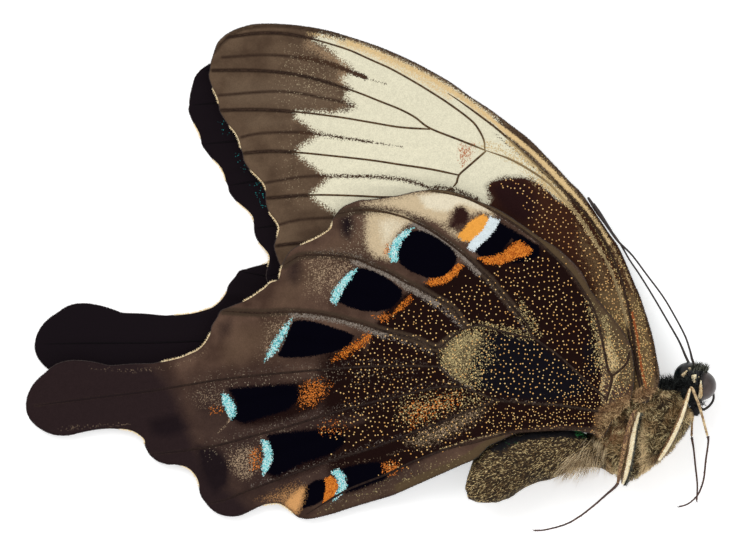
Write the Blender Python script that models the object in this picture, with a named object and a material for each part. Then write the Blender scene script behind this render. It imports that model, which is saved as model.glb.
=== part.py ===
"""A peranthus swallowtail, life-size, lying on its left side with its wings closed.

The butterfly is a dried specimen seen from straight above. +X is to the right of the picture,
where the head is, +Y is up the picture, towards the forewing's front edge, and +Z points up from
the floor, which is at Z = 0. The right wings lie uppermost and show their undersides.
Units are metres. Points read from the photograph are in its own pixels, 741 wide and 550 high.
"""

from math import cos, pi, radians, sin

import bmesh
import bpy
from mathutils import Matrix, Vector
from mathutils.geometry import delaunay_2d_cdt

# Driving dimensions
FOREWING_LENGTH = 0.052
MEMBRANE = 0.0005
VEIN_HEIGHT = 0.00015
VEIN_HALF_WIDTH = 0.00032
LAYER = 0.00108
GAP = 0.0003
BODY_HEIGHT = 0.0045
THORAX_HALF_DEPTH = 0.0035
THORAX_HALF_WIDTH = 0.0031
ABDOMEN_HALF_WIDTH = 0.00245
EYE_RADIUS = 0.00136
LIMB_RADIUS = 0.00026
CLUB_RADIUS = 0.00038
LEFT_FOREWING_TURN = 4.1
LEFT_HINDWING_TURN = -6.6
LEFT_FOREWING_SLIP = (0.00013, -0.00026)
LEFT_HINDWING_SLIP = (0.00055, -0.00080)

# The photograph's scale, and its pixel that lies over the origin
FOREWING_PIXELS = 554
PIXEL = FOREWING_LENGTH / FOREWING_PIXELS
ORIGIN_PX = (371.85, 278.45)

# How the wings lie: each pair droops beyond the other, and the bases rise to meet the thorax
HIND_DROOP = 0.006
FORE_DROOP = 0.007
RIGHT_RISE_REACH = 0.018
LEFT_RISE_REACH = 0.009
LEFT_RISE = 0.0011
ABDOMEN_SIDE_RISE = 0.0008
ROOT_SLACK = 0.00028
RISE_LINE_STEP = 0.0012
RISE_SOFTNESS = 0.0008
SLENDER_BODY = 0.0018
FORE_ROOT_NEAR = 0.0011
WING_BASE_PX = (645, 395)

# How finely the wings are meshed: steps, and shares of the step and of the rise's reach
OUTLINE_STEP = 0.0022
VEIN_STEP = 0.0036
MESH_STEP = 0.0038
ROOT_MESH_STEP = 0.0019
FREE_SHARE = 0.35
ROOT_MESH_SHARE = 0.75
MERGE_DISTANCE = 1e-5
SHARP_ANGLE = 40

# A vein's width where it starts and ends, and how fast it widens and narrows along its length
VEIN_START = 0.25
VEIN_WIDENING = 4
VEIN_END = 0.02
VEIN_NARROWING = 6

# Forewing outline, in stretches that meet at the wing's corners
FORE_COSTA_PX = [
    (657, 389), (659, 372), (654, 345), (645, 312), (630, 273), (610, 235), (580, 191.5),
    (540, 150), (490, 109.5), (430, 70.5), (370, 44), (310, 27), (270, 23.5), (245, 26),
    (225, 35), (213, 52), (210, 69),
]
FORE_TERMEN_PX = [
    (210, 69), (209.5, 77), (213, 88), (219, 101), (220, 111), (229, 124), (239, 139), (243, 154),
    (252, 170), (265, 186), (267, 204), (277, 222), (279, 230), (275, 245), (281, 266), (290, 290),
]
FORE_INNER_PX = [(290, 290), (400, 322), (520, 358), (600, 386), (641, 402)]
FORE_ROOT_PX = [(641, 402), (650, 397), (657, 389)]

# Hindwing outline
HIND_COSTA_PX = [
    (628, 405), (633, 382), (631, 350), (620, 328), (607, 312), (590, 290), (560, 251), (520, 224),
    (480, 202), (445, 190.5), (415, 192), (385, 198), (360, 200.5), (345, 206), (334, 218),
]
HIND_TERMEN_PX = [
    (334, 218), (330, 230), (311, 241), (288, 254), (281, 270), (276, 280), (261, 291), (243, 302),
    (223, 310), (212, 326), (204, 344), (180, 358), (150, 364), (110, 366), (72, 361), (52, 367),
    (36, 381), (27, 400), (30, 420), (48, 433), (70, 435), (105, 428.5), (135, 432.5), (145, 444),
    (154, 459), (178, 465), (193, 473), (200, 492), (210, 508), (228, 516.5), (246, 513), (264, 505),
    (282, 505), (298, 517), (322, 517),
]
HIND_INNER_PX = [
    (322, 517), (365, 503.5), (420, 483), (476, 457.5), (499, 440.5), (530, 431), (575, 430), (600, 438),
]
HIND_ROOT_PX = [(600, 438), (612, 420), (628, 405)]

# Forewing veins, from the root or the branch towards the margin
FORE_VEINS_PX = {
    "subcosta": [(638, 372), (620, 285), (580, 209), (540, 163), (480, 113), (430, 82), (370, 55)],
    "radius": [
        (640, 380), (600, 260), (550, 184), (485, 149), (478, 128), (430, 91), (370, 59), (290, 35),
        (250, 33),
    ],
    "radius_fork": [(485, 150), (430, 129), (380, 101), (320, 80), (270, 71), (222, 70)],
    "radius_sector": [(430, 129), (370, 122), (300, 112), (260, 109.5), (228, 110)],
    "media_1": [(487, 151), (459, 175), (400, 164.5), (330, 155.5), (251, 153)],
    "media_2": [(459, 175), (453, 192), (385, 197), (330, 195), (276, 198)],
    "media_3": [(453, 192), (430, 225), (360, 240), (288, 245)],
    "cubitus": [(636, 392), (560, 330), (490, 245), (453, 192)],
    "anal": [(634, 396), (520, 345), (400, 305), (305, 280)],
}

# Hindwing veins
HIND_VEINS_PX = {
    "subcosta": [(606, 400), (604, 350), (590, 302), (540, 243), (480, 204), (430, 196)],
    "radius": [(604, 402), (560, 357), (525, 322), (480, 270), (425, 227), (384, 212), (343, 214)],
    "media_1": [(533, 337), (466, 327), (432, 296), (383, 270), (340, 256), (296, 258)],
    "media_2": [(466, 327), (438, 349), (380, 330), (320, 314), (260, 313), (230, 312)],
    "media_3": [(438, 349), (440, 367), (330, 369), (226, 379), (94, 398), (50, 404)],
    "cubitus_1": [(440, 367), (462, 386), (400, 396), (310, 420), (220, 445), (160, 454)],
    "cubitus_2": [
        (604, 408), (535, 404), (462, 386), (497, 400), (440, 423), (340, 458), (250, 490), (213, 501),
    ],
    "anal": [(600, 420), (515, 432), (450, 448), (390, 473), (318, 508)],
}

# Thorax axis, and its profile from the rear: place along it, back, belly and width
THORAX_REAR_PX = (603.9, 453.4)
THORAX_FRONT_PX = (681.2, 400.0)
THORAX_PROFILE = [
    (0.00, 0.49, 0.92, 0.67), (0.14, 0.73, 1.03, 0.88), (0.32, 0.89, 1.03, 0.98),
    (0.53, 0.97, 0.97, 1.00), (0.70, 0.95, 0.89, 0.97), (0.85, 0.80, 0.76, 0.85),
    (0.95, 0.69, 0.61, 0.70), (1.00, 0.60, 0.51, 0.58),
]

# Abdomen: points along its middle, with half the depth there in pixels and the width's share
ABDOMEN_STATIONS = [
    (598.2, 451.8, 22.5, 0.80), (574.6, 444.5, 23.5, 0.90), (549.4, 451.1, 27.0, 0.97),
    (521.1, 457.6, 29.5, 1.00), (504.7, 466.1, 31.5, 1.00), (492.0, 472.6, 30.5, 0.96),
    (482.0, 479.0, 25.5, 0.84), (473.6, 486.5, 16.5, 0.60), (467.6, 493.0, 6.5, 0.30),
]
ABDOMEN_TAILWARD = (-0.967, -0.256)
ABDOMEN_BEND_RINGS = 5
RINGS_PER_STATION = 3
RING_GROOVE = 0.03
BODY_ROUNDNESS = 2.3
BODY_SIDES = 20

# Head, eyes and mouthparts
HEAD_CENTRE_PX = (694, 384)
HEAD_HALF_PX = (13, 17.5, 16)
HEAD_REAR_STATION = 1.035
RIGHT_EYE = {"at": (701.5, 385.5), "height": 0.0046, "faces": (0.98, -0.15, 0.10)}
LEFT_EYE = {"at": (688.5, 377.0), "height": 0.0042, "faces": (-0.75, 0.52, -0.40)}
PALPS_PX = (696, 409)
PALP_HALF_PX = (3.2, 4.6, 2.9)
PALPS_APART = 0.0009

# Limbs: points as pixel x, pixel y and height in millimetres above the floor
RIGHT_ANTENNA = [
    (692, 362.5, 5.1), (690, 351, 5.1), (685, 336, 5.0), (674, 315, 4.8), (662.6, 296, 4.6), (647, 275, 4.4),
    (632, 255, 4.2), (618, 241, 4.0), (608, 226.5, 3.9), (600, 214, 3.8), (593, 203, 3.7),
]
LEFT_ANTENNA = [
    (687, 360.5, 4.1), (679, 341, 4.0), (667, 320, 3.8), (653, 296, 3.6), (640, 275, 3.3),
    (629.6, 259.6, 3.1), (620, 243, 2.9), (608, 226.5, 2.7), (596.5, 210, 2.6), (588, 197, 2.5),
]
PROBOSCIS = [
    (695, 391, 2.6), (698, 402, 2.6), (702, 409.5, 2.6), (708, 407.5, 2.55), (713, 401.5, 2.5),
    (714, 395, 2.45), (711, 387, 2.4), (704.5, 385, 2.2), (700.5, 390, 2.0), (701, 399, 1.8),
    (703.5, 406, 1.7),
]
LEGS = {
    "leg_fore_right": [
        (660, 464, 5.9), (665, 451, 7.1), (673, 435, 7.8), (680, 419, 7.8), (686, 400, 7.3),
        (689, 390, 7.1), (692.5, 387.5, 6.95), (695.5, 393, 6.7), (700, 409, 6.1), (708, 435, 4.5),
        (708.5, 441, 4.1), (706, 461, 3.1), (704, 480, 2.2), (699, 494, 1.6), (692, 502, 1.1),
        (686, 505.5, 0.6), (679, 507.5, 0.5),
    ],
    "leg_fore_left": [
        (666, 454, 2.0), (680, 429, 1.3), (689, 412, 1.3), (693.5, 411, 1.7), (692.5, 424, 2.0),
        (692, 438, 1.9), (694, 448, 1.7), (698, 485, 0.7), (697.5, 502, 0.4),
    ],
    "leg_mid_right": [
        (625, 483, 6.2), (628, 468, 7.6), (632, 443, 8.3), (636, 424, 8.4), (639.5, 412, 8.5),
        (638, 408.5, 9.0), (634.5, 412, 9.1), (628, 430, 9.0), (623, 458, 8.5), (619, 478, 7.3),
        (615, 487, 6.3), (605, 495, 5.3), (595, 504.6, 4.2), (580, 516.5, 3.0), (565, 525, 1.9),
        (545, 530.4, 0.9), (534, 531, 0.5),
    ],
    "leg_mid_left": [
        (627, 479, 2.2), (630, 463, 1.2), (633, 443, 0.9), (636, 428, 0.9), (634, 421, 0.65), (628, 432, 0.4),
        (622, 456, 0.4), (614, 470, 0.45), (596, 472, 0.45), (560, 464, 0.4), (530, 468, 0.4),
    ],
    "leg_hind_right": [
        (615, 474, 1.9), (604, 467, 1.5), (585, 458, 1.3), (556, 457, 1.3), (520, 466, 1.3), (492, 478, 1.3),
    ],
    "leg_hind_left": [
        (606, 455, 1.7), (594, 448, 1.2), (570, 444, 1.0), (540, 446, 1.0), (510, 452, 1.0), (488, 462, 1.1),
    ],
}
LIMB_STEP = 0.0011
THIGH_RADIUS = 0.00029
CLUB_SHARE = 0.1

COLOURS = {
    "forewing": ((0.13, 0.10, 0.08), 0.75, 0.0),
    "hindwing": ((0.05, 0.03, 0.025), 0.75, 0.0),
    "wool": ((0.15, 0.12, 0.07), 0.9, 0.0),
    "abdomen": ((0.06, 0.045, 0.03), 0.8, 0.0),
    "black_hair": ((0.01, 0.01, 0.012), 0.8, 0.0),
    "right_eye": ((0.16, 0.12, 0.12), 0.25, 0.0),
    "left_eye": ((0.012, 0.012, 0.015), 0.15, 0.0),
    "horn": ((0.03, 0.022, 0.018), 0.5, 0.0),
    "leg": ((0.10, 0.07, 0.05), 0.6, 0.0),
}


def clear_scene():
    """Removes whatever the scene starts with."""
    for obj in list(bpy.data.objects):
        bpy.data.objects.remove(obj)


def finish(name, mesh, look, smooth=True):
    """Adds a finished mesh to the butterfly's collection with its own material."""
    obj = bpy.data.objects.new(name, mesh)
    bpy.data.collections["peranthus_swallowtail"].objects.link(obj)
    material = bpy.data.materials.new(name + "_material")
    material.use_nodes = True
    colour, roughness, metallic = COLOURS[look]
    shader = material.node_tree.nodes["Principled BSDF"]
    shader.inputs["Base Color"].default_value = (*colour, 1)
    shader.inputs["Roughness"].default_value = roughness
    shader.inputs["Metallic"].default_value = metallic
    mesh.materials.clear()
    mesh.materials.append(material)
    if smooth and obj.type == "MESH":
        mesh.shade_smooth()
        mesh.set_sharp_from_angle(angle=radians(SHARP_ANGLE))
    return obj


def place(px, py):
    """The plane point, in metres, under a pixel of the photograph."""
    return Vector(((px - ORIGIN_PX[0]) * PIXEL, (ORIGIN_PX[1] - py) * PIXEL))


def posed(point, pose):
    """A plane point turned about the wings' base and slipped a little, as the left wings are."""
    degrees, slip = pose
    base = place(*WING_BASE_PX)
    return base + Vector(slip) + Matrix.Rotation(radians(degrees), 2) @ (point - base)


def curve_point(points, i, u):
    """A point on the smooth curve through points, part u of the way from point i to the next."""
    p1 = points[i]
    p2 = points[i + 1]
    p0 = points[i - 1] if i > 0 else p1 * 2 - p2
    p3 = points[i + 2] if i + 2 < len(points) else p2 * 2 - p1
    square = 2 * p0 - 5 * p1 + 4 * p2 - p3
    cube = 3 * p1 - p0 - 3 * p2 + p3
    return (2 * p1 + (p2 - p0) * u + square * u**2 + cube * u**3) / 2


def smooth_line(points, step):
    """Points about a step apart on the smooth curve through the given points."""
    line = []
    for i in range(len(points) - 1):
        parts = max(1, round((points[i + 1] - points[i]).length / step))
        line += [curve_point(points, i, k / parts) for k in range(parts)]
    return line + [points[-1]]


def outline_of(stretches, pose):
    """A wing's closed outline, with corners only where its stretches meet."""
    outline = []
    for stretch in stretches:
        points = [posed(place(*pixel), pose) for pixel in stretch]
        outline += smooth_line(points, OUTLINE_STEP)[:-1]
    return outline


def ease(u):
    """Rises smoothly from 0 to 1 as u does."""
    u = min(1.0, max(0.0, u))
    return u * u * (3 - 2 * u)


def segment_distance(point, start, end):
    """How far a point lies from a segment, and how far along the segment it is, from 0 to 1."""
    along = end - start
    share = min(1.0, max(0.0, (point - start).dot(along) / along.length_squared))
    return (point - start - along * share).length, share


def is_inside(point, outline):
    """Whether a plane point lies inside a closed outline."""
    inside = False
    for i, a in enumerate(outline):
        b = outline[i - 1]
        if (a.y > point.y) != (b.y > point.y):
            crossing = a.x + (b.x - a.x) * (point.y - a.y) / (b.y - a.y)
            inside ^= point.x < crossing
    return inside


def outside_distance(point, outline):
    """How far a plane point lies outside a closed outline; 0 inside it."""
    if is_inside(point, outline):
        return 0.0
    return min(segment_distance(point, outline[i - 1], a)[0] for i, a in enumerate(outline))


FORE_STRETCHES = (FORE_COSTA_PX, FORE_TERMEN_PX, FORE_INNER_PX, FORE_ROOT_PX)
HIND_STRETCHES = (HIND_COSTA_PX, HIND_TERMEN_PX, HIND_INNER_PX, HIND_ROOT_PX)
RIGHT_POSE = (0.0, (0.0, 0.0))
LEFT_FORE_POSE = (LEFT_FOREWING_TURN, LEFT_FOREWING_SLIP)
LEFT_HIND_POSE = (LEFT_HINDWING_TURN, LEFT_HINDWING_SLIP)
RIGHT_FORE = outline_of(FORE_STRETCHES, RIGHT_POSE)
LEFT_FORE = outline_of(FORE_STRETCHES, LEFT_FORE_POSE)
RIGHT_HIND = outline_of(HIND_STRETCHES, RIGHT_POSE)
LEFT_HIND = outline_of(HIND_STRETCHES, LEFT_HIND_POSE)


def cover(point, outlines, droop):
    """1 where a pair of wings lies, falling to 0 a little way beyond it."""
    distance = min(outside_distance(point, outline) for outline in outlines)
    return 1 - ease(distance / droop)


def thorax_sections():
    """The thorax's rings: the centre, direction, half depth and half width of each."""
    rear, front = place(*THORAX_REAR_PX), place(*THORAX_FRONT_PX)
    axis = (front - rear).normalized()
    belly = Vector((axis.y, -axis.x))
    sections = []
    for share, back, under, width in THORAX_PROFILE:
        middle = (under - back) / 2 * THORAX_HALF_DEPTH
        half_depth = (under + back) / 2 * THORAX_HALF_DEPTH
        centre = rear + (front - rear) * share + belly * middle
        sections.append((centre, axis, half_depth, width * THORAX_HALF_WIDTH))
    return sections


def abdomen_sections():
    """The abdomen's rings, given like the thorax's."""
    centres = [place(x, y) for x, y, _, _ in ABDOMEN_STATIONS]
    axis = (place(*THORAX_REAR_PX) - place(*THORAX_FRONT_PX)).normalized()
    sizes = [Vector((depth * PIXEL, width * ABDOMEN_HALF_WIDTH)) for _, _, depth, width in ABDOMEN_STATIONS]
    sections = []
    spans = len(centres) - 1
    for k in range(spans * RINGS_PER_STATION + 1):
        i = min(k // RINGS_PER_STATION, spans - 1)
        u = k / RINGS_PER_STATION - i
        centre = curve_point(centres, i, u)
        blend = ease(k / ABDOMEN_BEND_RINGS)
        direction = (axis * (1 - blend) + Vector(ABDOMEN_TAILWARD) * blend).normalized()
        groove = 1 - RING_GROOVE * (k % RINGS_PER_STATION == 2)
        size = curve_point(sizes, i, u) * groove
        sections.append((centre, direction, size.x, size.y))
    return sections


def body_half_width(point, sections):
    """Half the body's thickness, along Z, over a plane point; 0 beside the body."""
    best = 0.0
    for (centre_a, _, depth_a, width_a), (centre_b, _, depth_b, width_b) in zip(sections, sections[1:]):
        distance, share = segment_distance(point, centre_a, centre_b)
        depth = depth_a + (depth_b - depth_a) * share
        width = width_a + (width_b - width_a) * share
        if distance < depth:
            best = max(best, width * (1 - (distance / depth) ** BODY_ROUNDNESS) ** (1 / BODY_ROUNDNESS))
    return best


THORAX = thorax_sections()
ABDOMEN = abdomen_sections()


def half_width_at(point):
    """Half the thickness of thorax and abdomen over a plane point."""
    return max(body_half_width(point, THORAX), body_half_width(point, ABDOMEN))


def rise_line():
    """The line along which the wings meet the body, with how far the bases rise there."""
    fore_root = [place(*p) for p in FORE_ROOT_PX]
    hind_root = [place(*p) for p in reversed(HIND_ROOT_PX)]
    hind_inner = [place(*p) for p in reversed(HIND_INNER_PX[3:-1])]
    line = []
    for point in smooth_line(fore_root[::-1] + hind_root + hind_inner, RISE_LINE_STEP):
        over_hind = cover(point, (RIGHT_HIND, LEFT_HIND), HIND_DROOP)
        over_fore = cover(point, (RIGHT_FORE, LEFT_FORE), FORE_DROOP)
        from_fore_root = min((point - root).length for root in fore_root)
        on_fore = is_inside(point, RIGHT_FORE) or from_fore_root < FORE_ROOT_NEAR
        right_level = (1 + over_hind) if on_fore else (1 + 2 * over_fore)
        left_level = over_hind if on_fore else 0
        half = half_width_at(point)
        right = BODY_HEIGHT + half + GAP + ROOT_SLACK - right_level * LAYER
        left = BODY_HEIGHT - half - GAP - MEMBRANE - VEIN_HEIGHT - ROOT_SLACK - left_level * LAYER
        if half < SLENDER_BODY:
            left = min(left, ABDOMEN_SIDE_RISE)
        line.append((point, right, min(max(left, 0), LEFT_RISE)))
    return line


RISE_LINE = rise_line()


def rise(point):
    """How far the right and the left wings' bases rise over a plane point."""
    total = right = left = near = 0.0
    for spot, right_rise, left_rise in RISE_LINE:
        distance = (point - spot).length
        weight = 1 / (distance**2 + RISE_SOFTNESS**2) ** 3
        total += weight
        right += weight * right_rise
        left += weight * left_rise
        near += weight * distance
    near /= total
    right_share = max(0.0, 1 - near / RIGHT_RISE_REACH) ** 2
    left_share = max(0.0, 1 - near / LEFT_RISE_REACH) ** 2
    return right / total * right_share, left / total * left_share


def bottom_right_fore(point):
    """The height of the right forewing's lower face over a plane point."""
    return (1 + cover(point, (RIGHT_HIND, LEFT_HIND), HIND_DROOP)) * LAYER + rise(point)[0]


def bottom_right_hind(point):
    """The height of the right hindwing's lower face."""
    return (1 + 2 * cover(point, (RIGHT_FORE, LEFT_FORE), FORE_DROOP)) * LAYER + rise(point)[0]


def bottom_left_fore(point):
    """The height of the left forewing's lower face."""
    return cover(point, (RIGHT_HIND, LEFT_HIND), HIND_DROOP) * LAYER + rise(point)[1]


def bottom_left_hind(point):
    """The height of the left hindwing's lower face."""
    return rise(point)[1]


def vein_lines(veins, pose):
    """Each vein's crest, as plane points."""
    return [smooth_line([posed(place(*p), pose) for p in points], VEIN_STEP) for points in veins.values()]


def vein_half_width(line, i):
    """Half a vein's width, which narrows to nothing at both ends."""
    share = i / (len(line) - 1)
    widening = VEIN_START + VEIN_WIDENING * share
    narrowing = VEIN_END + VEIN_NARROWING * (1 - share)
    return VEIN_HALF_WIDTH * min(1.0, widening, narrowing)


def ridge(point, lines):
    """How far the veins raise the membrane's upper face at a plane point."""
    height = 0.0
    for line in lines:
        for i in range(len(line) - 1):
            distance, share = segment_distance(point, line[i], line[i + 1])
            width = vein_half_width(line, i) * (1 - share) + vein_half_width(line, i + 1) * share
            fade = min(1.0, width / VEIN_HALF_WIDTH)
            height = max(height, VEIN_HEIGHT * fade * (1 - distance / width))
    return height


def is_free(spot, outline, lines):
    """Whether a plane point lies inside a wing, clear of its edge and its veins."""
    clear = MESH_STEP * FREE_SHARE
    rims = [outline[-1:] + outline, *lines]
    return is_inside(spot, outline) and all(
        segment_distance(spot, start, end)[0] > clear for rim in rims for start, end in zip(rim, rim[1:])
    )


def wing_points(outline, lines):
    """The plane points and edges from which a wing is triangulated."""
    points = list(outline)
    edges = [(i, (i + 1) % len(outline)) for i in range(len(outline))]
    for line in lines:
        for side in (-1, 0, 1):
            first = len(points)
            for i, spot in enumerate(line):
                ahead = (line[min(i + 1, len(line) - 1)] - line[max(i - 1, 0)]).normalized()
                across = Vector((-ahead.y, ahead.x))
                points.append(spot + across * side * vein_half_width(line, i))
            edges += [(k, k + 1) for k in range(first, len(points) - 1)]
    base = place(*WING_BASE_PX)
    low = Vector((min(p.x for p in outline), min(p.y for p in outline)))
    high = Vector((max(p.x for p in outline), max(p.y for p in outline)))
    fine_reach = RIGHT_RISE_REACH * ROOT_MESH_SHARE
    row = 0
    y = low.y
    while y < high.y:
        x = low.x + (row % 2) * MESH_STEP / 2
        while x < high.x:
            spot = Vector((x, y))
            x += ROOT_MESH_STEP if (spot - base).length < fine_reach else MESH_STEP
            if is_free(spot, outline, lines):
                points.append(spot)
        row += 1
        y += ROOT_MESH_STEP if abs(y - base.y) < fine_reach else MESH_STEP
    return points, edges


def make_wing(name, outline, veins, pose, bottom, look):
    """A membrane with raised veins: the same triangles on both faces, and a rim round its edge."""
    lines = vein_lines(veins, pose)
    points, edges = wing_points(outline, lines)
    spots, _, found = delaunay_2d_cdt(points, edges, [], 0, MERGE_DISTANCE, False)[:3]
    middles = [(spots[a] + spots[b] + spots[c]) / 3 for a, b, c in found]
    triangles = [triangle for triangle, middle in zip(found, middles) if is_inside(middle, outline)]
    used = sorted({k for triangle in triangles for k in triangle})
    form = bmesh.new()
    lower = {}
    upper = {}
    for k in used:
        height = bottom(spots[k])
        lower[k] = form.verts.new((*spots[k], height))
        upper[k] = form.verts.new((*spots[k], height + MEMBRANE + ridge(spots[k], lines)))
    for triangle in triangles:
        form.faces.new([upper[k] for k in triangle])
        form.faces.new([lower[k] for k in reversed(triangle)])
    sides = {(a, b) for t in triangles for a, b in zip(t, (*t[1:], t[0]))}
    for a, b in sides:
        if (b, a) not in sides:
            form.faces.new([upper[b], upper[a], lower[a], lower[b]])
    bmesh.ops.triangulate(form, faces=[face for face in form.faces if len(face.verts) == 4])
    mesh = bpy.data.meshes.new(name)
    form.to_mesh(mesh)
    form.free()
    finish(name, mesh, look)


def make_loft(name, sections, look):
    """A closed body through rounded sections that stand across the body's axis."""
    form = bmesh.new()
    rings = []
    for centre, direction, half_depth, half_width in sections:
        across = Vector((direction.y, -direction.x))
        ring = []
        for k in range(BODY_SIDES):
            turn = 2 * pi * k / BODY_SIDES
            depth = abs(cos(turn)) ** (2 / BODY_ROUNDNESS) * (1 if cos(turn) > 0 else -1)
            width = abs(sin(turn)) ** (2 / BODY_ROUNDNESS) * (1 if sin(turn) > 0 else -1)
            spot = centre + across * depth * half_depth
            ring.append(form.verts.new((*spot, BODY_HEIGHT + width * half_width)))
        rings.append(ring)
    for ring, following in zip(rings, rings[1:]):
        for k in range(BODY_SIDES):
            after = (k + 1) % BODY_SIDES
            form.faces.new([ring[k], ring[after], following[after], following[k]])
    form.faces.new(rings[0][::-1])
    form.faces.new(rings[-1])
    bmesh.ops.recalc_face_normals(form, faces=form.faces)
    mesh = bpy.data.meshes.new(name)
    form.to_mesh(mesh)
    form.free()
    finish(name, mesh, look)


def cut(form, point, normal):
    """Cuts a convex form at a plane, keeps what lies behind it and closes the cut."""
    geometry = form.verts[:] + form.edges[:] + form.faces[:]
    result = bmesh.ops.bisect_plane(form, geom=geometry, plane_co=point, plane_no=normal, clear_outer=True)
    edges = [item for item in result["geom_cut"] if isinstance(item, bmesh.types.BMEdge)]
    bmesh.ops.contextual_create(form, geom=edges)


def make_eye(name, eye, look):
    """Half a ball, flat where it meets the head."""
    centre = Vector((*place(*eye["at"]), eye["height"]))
    facing = Vector(eye["faces"]).normalized()
    form = bmesh.new()
    bmesh.ops.create_uvsphere(form, u_segments=20, v_segments=12, radius=EYE_RADIUS)
    bmesh.ops.rotate(form, verts=form.verts, matrix=facing.to_track_quat("Z", "Y").to_matrix())
    bmesh.ops.translate(form, verts=form.verts, vec=centre)
    cut(form, centre, -facing)
    mesh = bpy.data.meshes.new(name)
    form.to_mesh(mesh)
    form.free()
    finish(name, mesh, look)


def make_head():
    """A rounded head, cut flat behind each eye and where it meets the thorax."""
    centre = Vector((*place(*HEAD_CENTRE_PX), BODY_HEIGHT))
    form = bmesh.new()
    bmesh.ops.create_uvsphere(form, u_segments=20, v_segments=12, radius=1)
    bmesh.ops.scale(form, verts=form.verts, vec=[half * PIXEL for half in HEAD_HALF_PX])
    bmesh.ops.translate(form, verts=form.verts, vec=centre)
    for eye in (RIGHT_EYE, LEFT_EYE):
        facing = Vector(eye["faces"]).normalized()
        cut(form, Vector((*place(*eye["at"]), eye["height"])) - facing * GAP, facing)
    rear, front = place(*THORAX_REAR_PX), place(*THORAX_FRONT_PX)
    axis = (front - rear).normalized()
    cut(form, Vector((*(rear + (front - rear) * HEAD_REAR_STATION), 0)), Vector((-axis.x, -axis.y, 0)))
    mesh = bpy.data.meshes.new("head")
    form.to_mesh(mesh)
    form.free()
    finish("head", mesh, "black_hair")


def make_limb(name, stations, radii, look):
    """A round limb along a smooth line, with its thickness given at even steps along it."""
    points = [Vector((*place(x, y), height / 1000)) for x, y, height in stations]
    line = smooth_line(points, LIMB_STEP)
    curve = bpy.data.curves.new(name, "CURVE")
    curve.dimensions = "3D"
    curve.bevel_depth = LIMB_RADIUS
    curve.bevel_resolution = 1
    curve.use_fill_caps = True
    spline = curve.splines.new("POLY")
    spline.points.add(len(line) - 1)
    for i, (spot, point) in enumerate(zip(line, spline.points)):
        share = i / (len(line) - 1) * (len(radii) - 1)
        low = min(int(share), len(radii) - 2)
        point.co = (*spot, 1)
        point.radius = (radii[low] + (radii[low + 1] - radii[low]) * (share - low)) / LIMB_RADIUS
    finish(name, curve, look, smooth=False)


def make_palp(name, height):
    """A short blunt palp under the head."""
    form = bmesh.new()
    bmesh.ops.create_uvsphere(form, u_segments=12, v_segments=8, radius=1)
    bmesh.ops.scale(form, verts=form.verts, vec=[half * PIXEL for half in PALP_HALF_PX])
    bmesh.ops.translate(form, verts=form.verts, vec=(*place(*PALPS_PX), height))
    mesh = bpy.data.meshes.new(name)
    form.to_mesh(mesh)
    form.free()
    finish(name, mesh, "black_hair")


def main():
    clear_scene()
    collection = bpy.data.collections.new("peranthus_swallowtail")
    bpy.context.scene.collection.children.link(collection)
    make_wing("wing_hind_left", LEFT_HIND, HIND_VEINS_PX, LEFT_HIND_POSE, bottom_left_hind, "hindwing")
    make_wing("wing_fore_left", LEFT_FORE, FORE_VEINS_PX, LEFT_FORE_POSE, bottom_left_fore, "forewing")
    make_wing("wing_fore_right", RIGHT_FORE, FORE_VEINS_PX, RIGHT_POSE, bottom_right_fore, "forewing")
    make_wing("wing_hind_right", RIGHT_HIND, HIND_VEINS_PX, RIGHT_POSE, bottom_right_hind, "hindwing")
    make_loft("thorax", THORAX, "wool")
    make_loft("abdomen", ABDOMEN, "abdomen")
    make_head()
    make_eye("eye_right", RIGHT_EYE, "right_eye")
    make_eye("eye_left", LEFT_EYE, "left_eye")
    make_palp("palp_right", BODY_HEIGHT + PALPS_APART / 2)
    make_palp("palp_left", BODY_HEIGHT - PALPS_APART / 2)
    make_limb("proboscis", PROBOSCIS, [LIMB_RADIUS, LIMB_RADIUS], "horn")
    club = [LIMB_RADIUS] * round(1 / CLUB_SHARE - 1) + [CLUB_RADIUS, CLUB_RADIUS]
    make_limb("antenna_right", RIGHT_ANTENNA, club, "horn")
    make_limb("antenna_left", LEFT_ANTENNA, club, "horn")
    for name, stations in LEGS.items():
        make_limb(name, stations, [THIGH_RADIUS, LIMB_RADIUS, LIMB_RADIUS], "leg")


main()
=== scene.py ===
"""A life-size peranthus swallowtail at rest on its side, dressed in scales, wool and horn.

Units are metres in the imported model's frame. Outlines and marks are given in pixels of the
741 by 550 photograph, and place() turns such a pixel into a point of the frame.
"""

from collections import Counter, namedtuple
from math import cos, pi, radians, sin

import bpy
import numpy as np
from bpy.props import FloatProperty, IntProperty, PointerProperty
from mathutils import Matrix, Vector
from mathutils.bvhtree import BVHTree
from mathutils.kdtree import KDTree


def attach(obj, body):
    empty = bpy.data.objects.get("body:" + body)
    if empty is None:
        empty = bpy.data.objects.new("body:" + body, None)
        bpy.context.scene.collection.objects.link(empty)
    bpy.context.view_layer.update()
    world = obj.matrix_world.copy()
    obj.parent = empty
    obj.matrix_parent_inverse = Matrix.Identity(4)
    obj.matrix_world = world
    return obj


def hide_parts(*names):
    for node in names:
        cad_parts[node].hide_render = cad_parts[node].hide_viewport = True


bl_info = {
    "name": "Peranthus Swallowtail",
    "version": (1, 0, 0),
    "blender": (4, 5, 0),
    "location": "3D View > Sidebar > Swallowtail",
    "description": "Dresses the packed swallowtail in scales, wool and horn",
    "category": "Object",
}

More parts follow.
